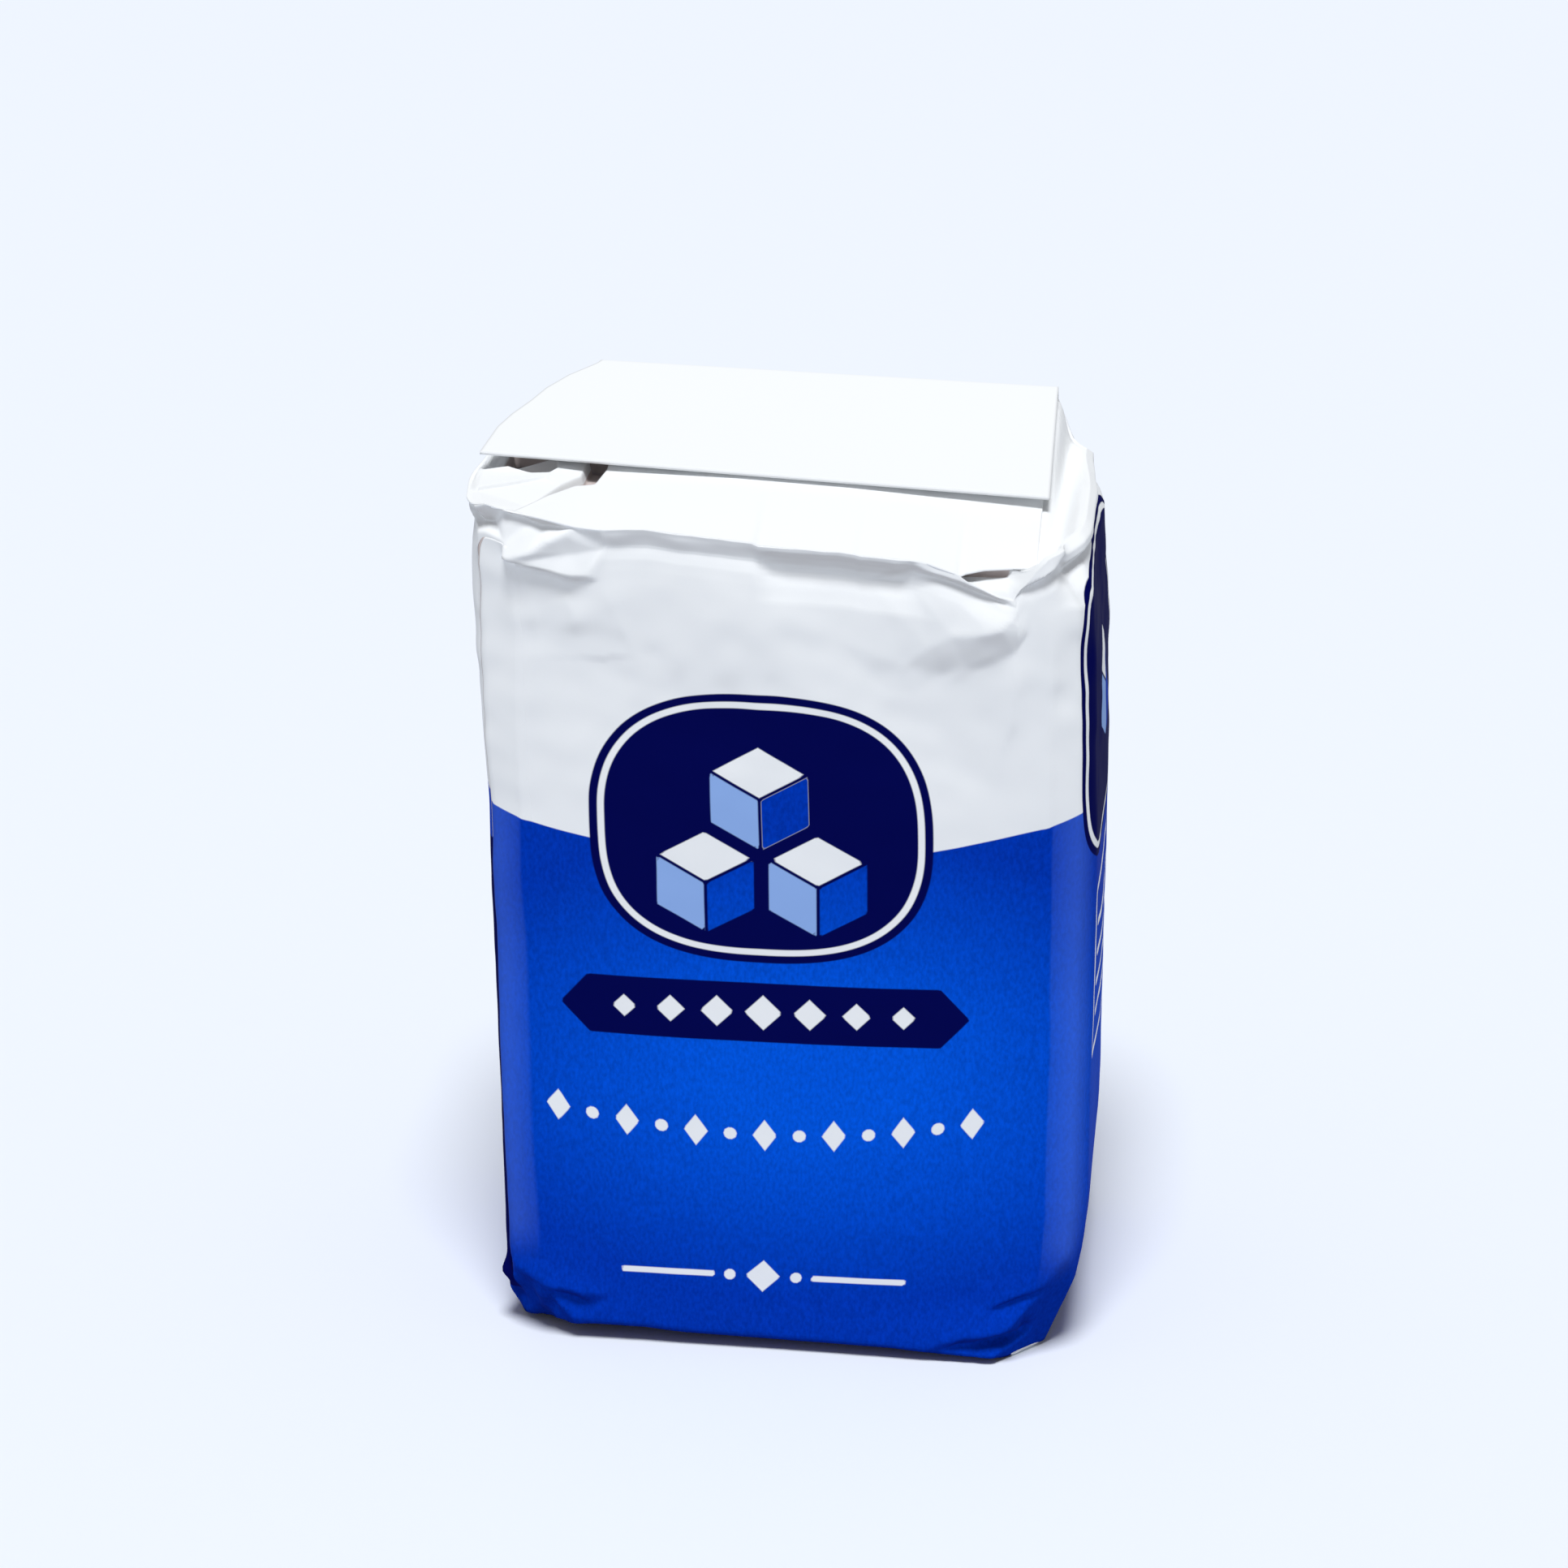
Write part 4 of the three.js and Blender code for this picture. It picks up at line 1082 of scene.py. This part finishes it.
class SUGARBAG_OT_seam(bpy.types.Operator):
    """Builds the glued edge of the front panel, lapped round the left corner, with its free edge lifted."""

    bl_idname = "sugarbag.seam"
    bl_label = "Glued Seam"

    def execute(self, context):
        points, up, crest_row = bag_surface()
        steps = CORNER_STEPS[3]
        # Points and places on the paper, from the left corner's first column to just past the front's
        u = np.broadcast_to(ROUND, up.shape)
        sheet = np.concatenate([points, u[..., None], up[..., None]], axis=-1)
        sheet = np.roll(sheet, steps, axis=1)[BASE_ROWS + len(FOOT):crest_row, :steps + int(SEAM_REACH) + 2]
        sheet[:, :steps, 3] -= GIRTH
        z = sheet[:, SEAM_PROBE, 2]
        sheet = sheet[(z > SEAM_BOTTOM) & (z < SEAM_TOP)]
        z = sheet[:, SEAM_PROBE, 2]
        # Columns read at fractional places, from the free edge, rounded at the top, to the front
        f = np.linspace(0, 1, SEAM_COLUMNS)[None, :]
        rounding = np.clip((z - SEAM_TOP + SEAM_ROUNDING) / SEAM_ROUNDING, 0.0, 1.0)
        free = steps * (1 - along(SEAM_TURN, z) / 90.0) + 4.0 * (1 - np.sqrt(1 - rounding ** 2))
        at = mix(free[:, None], steps + SEAM_REACH, f)
        k = at.astype(int)
        rows = np.arange(len(z))[:, None]
        sheet = mix(sheet[rows, k], sheet[rows, k + 1], (at - k)[..., None])
        # The sheet lies on the bag at the front and lifts towards its free edge
        turn = math.pi + math.pi / 2 * np.minimum(at / steps, 1.0)
        outward = np.stack([np.cos(turn), np.sin(turn), 0 * turn], axis=-1)
        ends = (ease(SEAM_BOTTOM, SEAM_BOTTOM + 4.0, z) * (1 - 0.5 * ease(148, 156, z)))[:, None]
        lift = along(SEAM_LIFT, z)[:, None] * (1 - f) ** 2 + 0.3 * np.minimum((1 - f) / 0.15, 1.0)
        upper = sheet[..., :3] + outward * (lift * ends - 0.1)[..., None]
        # Painted shadow: a thin line along the cut edge, where the lifted edge casts shade, is coloured navy
        # on the blue and dark inner paper above it
        u, up = sheet[..., 3], sheet[..., 4]
        fields = print_fields(u, up)
        cut_edge = 0.9 - 10.0 * f
        fields["navy_print"] = np.maximum(fields["navy_print"], cut_edge)
        fields["inner_paper_and_shade"] = 6.5 * np.minimum(cut_edge, z[:, None] - 99.0)
        # Painted sheen along the corner, as on the bag
        fields["corner_sheen"] = corner_sheen_bands(u, up)
        add_sheet(context, "seam_edge", upper, upper - SEAM_THICK * outward, fields)
        return {"FINISHED"}


class SUGARBAG_OT_roof(bpy.types.Operator):
    """Builds the front panel's top strip, folded back from the rim to below the fin."""

    bl_idname = "sugarbag.roof"
    bl_label = "Front Roof Strip"

    def execute(self, context):
        b, a = unit_grid(*STRIP_GRID)
        x = mix(along(STRIP_LEFT, mix(*STRIP_ENDS, b)), STRIP_RIGHT, a)
        y = mix(-along(STRIP_FRONT, x), STRIP_ENDS[1], b)
        z = strip_height(x, y) + 0.05
        z = z - 0.25 * ease(4.0, 0.0, x - along(STRIP_LEFT, y)) * ease(-26, -30, y)
        upper = np.stack([x, y, z], axis=-1)
        add_sheet(context, "front_roof", upper, upper - (0, 0, PAPER_THICK), {})
        return {"FINISHED"}


class SUGARBAG_OT_gusset(bpy.types.Operator):
    """Builds the folded plies of the left gusset, in front of and below the fin."""

    bl_idname = "sugarbag.gusset"
    bl_label = "Left Gusset Plies"

    def execute(self, context):
        b, a = unit_grid(*GUSSET_GRID)
        y = mix(*GUSSET_ENDS, b) + 0 * a
        # The left edge goes round the corner and bows out over the left wall
        corner = np.clip(-y - 26.2, 0.0, WALL_CORNER - 0.01)
        left = -47.9 - np.sqrt(WALL_CORNER ** 2 - corner ** 2) - 1.2 * hump(-17.0, 8.5, y)
        x = mix(left, GUSSET_RIGHT, a)
        y = y + 3.0 * ease(-44.5, -42.5, x) * ease(-27, -34, y)
        edge = rim_height(x, y) + 0.15
        z = creased(GUSSET, GUSSET_FOLDS, x, y, edge, soft=0.2)
        inwards = np.minimum(x - left, y - GUSSET_ENDS[0])
        z = np.where(x < -43, mix(edge, z, ease(0.0, 1.5, inwards)), z)
        upper = np.stack([x, y, z], axis=-1)
        # Inner face below a height, coloured darker the deeper it lies, as painted shade
        inner = INNER_HEIGHT - np.stack([z, z - PAPER_THICK])
        add_sheet(context, "left_gusset", upper, upper - (0, 0, PAPER_THICK), {"inner_paper_and_shade": inner})
        return {"FINISHED"}


class SUGARBAG_OT_fin(bpy.types.Operator):
    """Builds the closing fin, folded forwards from the back panel."""

    bl_idname = "sugarbag.fin"
    bl_label = "Closing Fin"

    def execute(self, context):
        b, a = unit_grid(*FIN_GRID)
        turn = np.clip((b - FIN_FLAT) / (1 - FIN_FLAT), 0.0, 1.0) * math.pi / 2
        y = mix(FIN_FRONT_Y, FIN_BACK_Y, np.minimum(b / FIN_FLAT, 1.0)) + FIN_FOLD[0] * np.sin(turn) + 0 * a
        x = mix(along(FIN_LEFT, y), along(FIN_RIGHT, y), a)
        z = fin_height(x, np.minimum(y, FIN_BACK_Y)) - FIN_FOLD[1] * (1 - np.cos(turn))
        upper = np.stack([x, y, z], axis=-1)
        add_sheet(context, "closing_fin", upper, upper - (0, 0, FIN_THICK), {})
        return {"FINISHED"}


class SUGARBAG_OT_stage(bpy.types.Operator):
    """Builds the pale floor, the soft studio light and the camera."""

    bl_idname = "sugarbag.stage"
    bl_label = "Stage"

    def execute(self, context):
        scene = context.scene
        look = scene.sugar_stage
        mesh = bpy.data.meshes.new("floor")
        mesh.from_pydata((np.array(FLOOR_CORNERS) * MM).tolist(), [], [(0, 1, 2, 3)])
        floor = bpy.data.objects.new("floor", mesh)
        scene.collection.objects.link(floor)
        # Rolled matt paint, an even pale ground with no gloss
        material = bpy.data.materials.new("Matt Paint")
        material.use_nodes = True
        shader = material.node_tree.nodes["Principled BSDF"]
        shader.inputs["Base Color"].default_value = linear(look.floor)
        shader.inputs["Roughness"].default_value = 0.8
        floor.data.materials.append(material)
        world = bpy.data.worlds.new("Studio")
        world.use_nodes = True
        background = world.node_tree.nodes["Background"]
        background.inputs["Color"].default_value = (1.0, 0.98, 0.96, 1.0)
        background.inputs["Strength"].default_value = look.fill
        scene.world = world
        key = bpy.data.lights.new("key", "SUN")
        key.angle = look.key_width
        key.energy = look.key
        key.color = (0.96, 0.98, 1.0)
        lamp = bpy.data.objects.new("key", key)
        lamp.rotation_euler = look_rotation(LIGHT_AHEAD)
        scene.collection.objects.link(lamp)
        camera = bpy.data.objects.new("camera", bpy.data.cameras.new("camera"))
        camera.data.lens = look.lens
        camera.data.sensor_width = SENSOR
        camera.location = [c * MM for c in CAMERA_PLACE]
        a, e = look.azimuth, look.elevation
        ahead = (-math.sin(a) * math.cos(e), math.cos(a) * math.cos(e), -math.sin(e))
        camera.rotation_euler = look_rotation(ahead)
        scene.collection.objects.link(camera)
        scene.camera = camera
        scene.view_settings.view_transform = "Standard"
        return {"FINISHED"}


class SUGARBAG_PT_panel(bpy.types.Panel):
    """Lists the pieces and their settings."""

    bl_idname = "SUGARBAG_PT_panel"
    bl_label = "Sugar Bag"
    bl_space_type = "VIEW_3D"
    bl_region_type = "UI"
    bl_category = "Sugar Bag"

    def draw(self, context):
        for operator in OPERATORS:
            self.layout.operator(operator.bl_idname)
        for group in (context.scene.sugar_look, context.scene.sugar_stage):
            for name in group.__annotations__:
                self.layout.prop(group, name)


OPERATORS = (SUGARBAG_OT_body, SUGARBAG_OT_seam, SUGARBAG_OT_roof, SUGARBAG_OT_gusset, SUGARBAG_OT_fin,
             SUGARBAG_OT_stage)
CLASSES = (BagLook, StageLook, *OPERATORS, SUGARBAG_PT_panel)


def register():
    for cls in CLASSES:
        bpy.utils.register_class(cls)
    bpy.types.Scene.sugar_look = bpy.props.PointerProperty(type=BagLook)
    bpy.types.Scene.sugar_stage = bpy.props.PointerProperty(type=StageLook)


def unregister():
    del bpy.types.Scene.sugar_stage
    del bpy.types.Scene.sugar_look
    for cls in reversed(CLASSES):
        bpy.utils.unregister_class(cls)


def main():
    """Registers the add-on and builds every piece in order."""
    register()
    bpy.ops.sugarbag.body()
    bpy.ops.sugarbag.seam()
    bpy.ops.sugarbag.roof()
    bpy.ops.sugarbag.gusset()
    bpy.ops.sugarbag.fin()
    bpy.ops.sugarbag.stage()


if __name__ == "__main__":
    main()
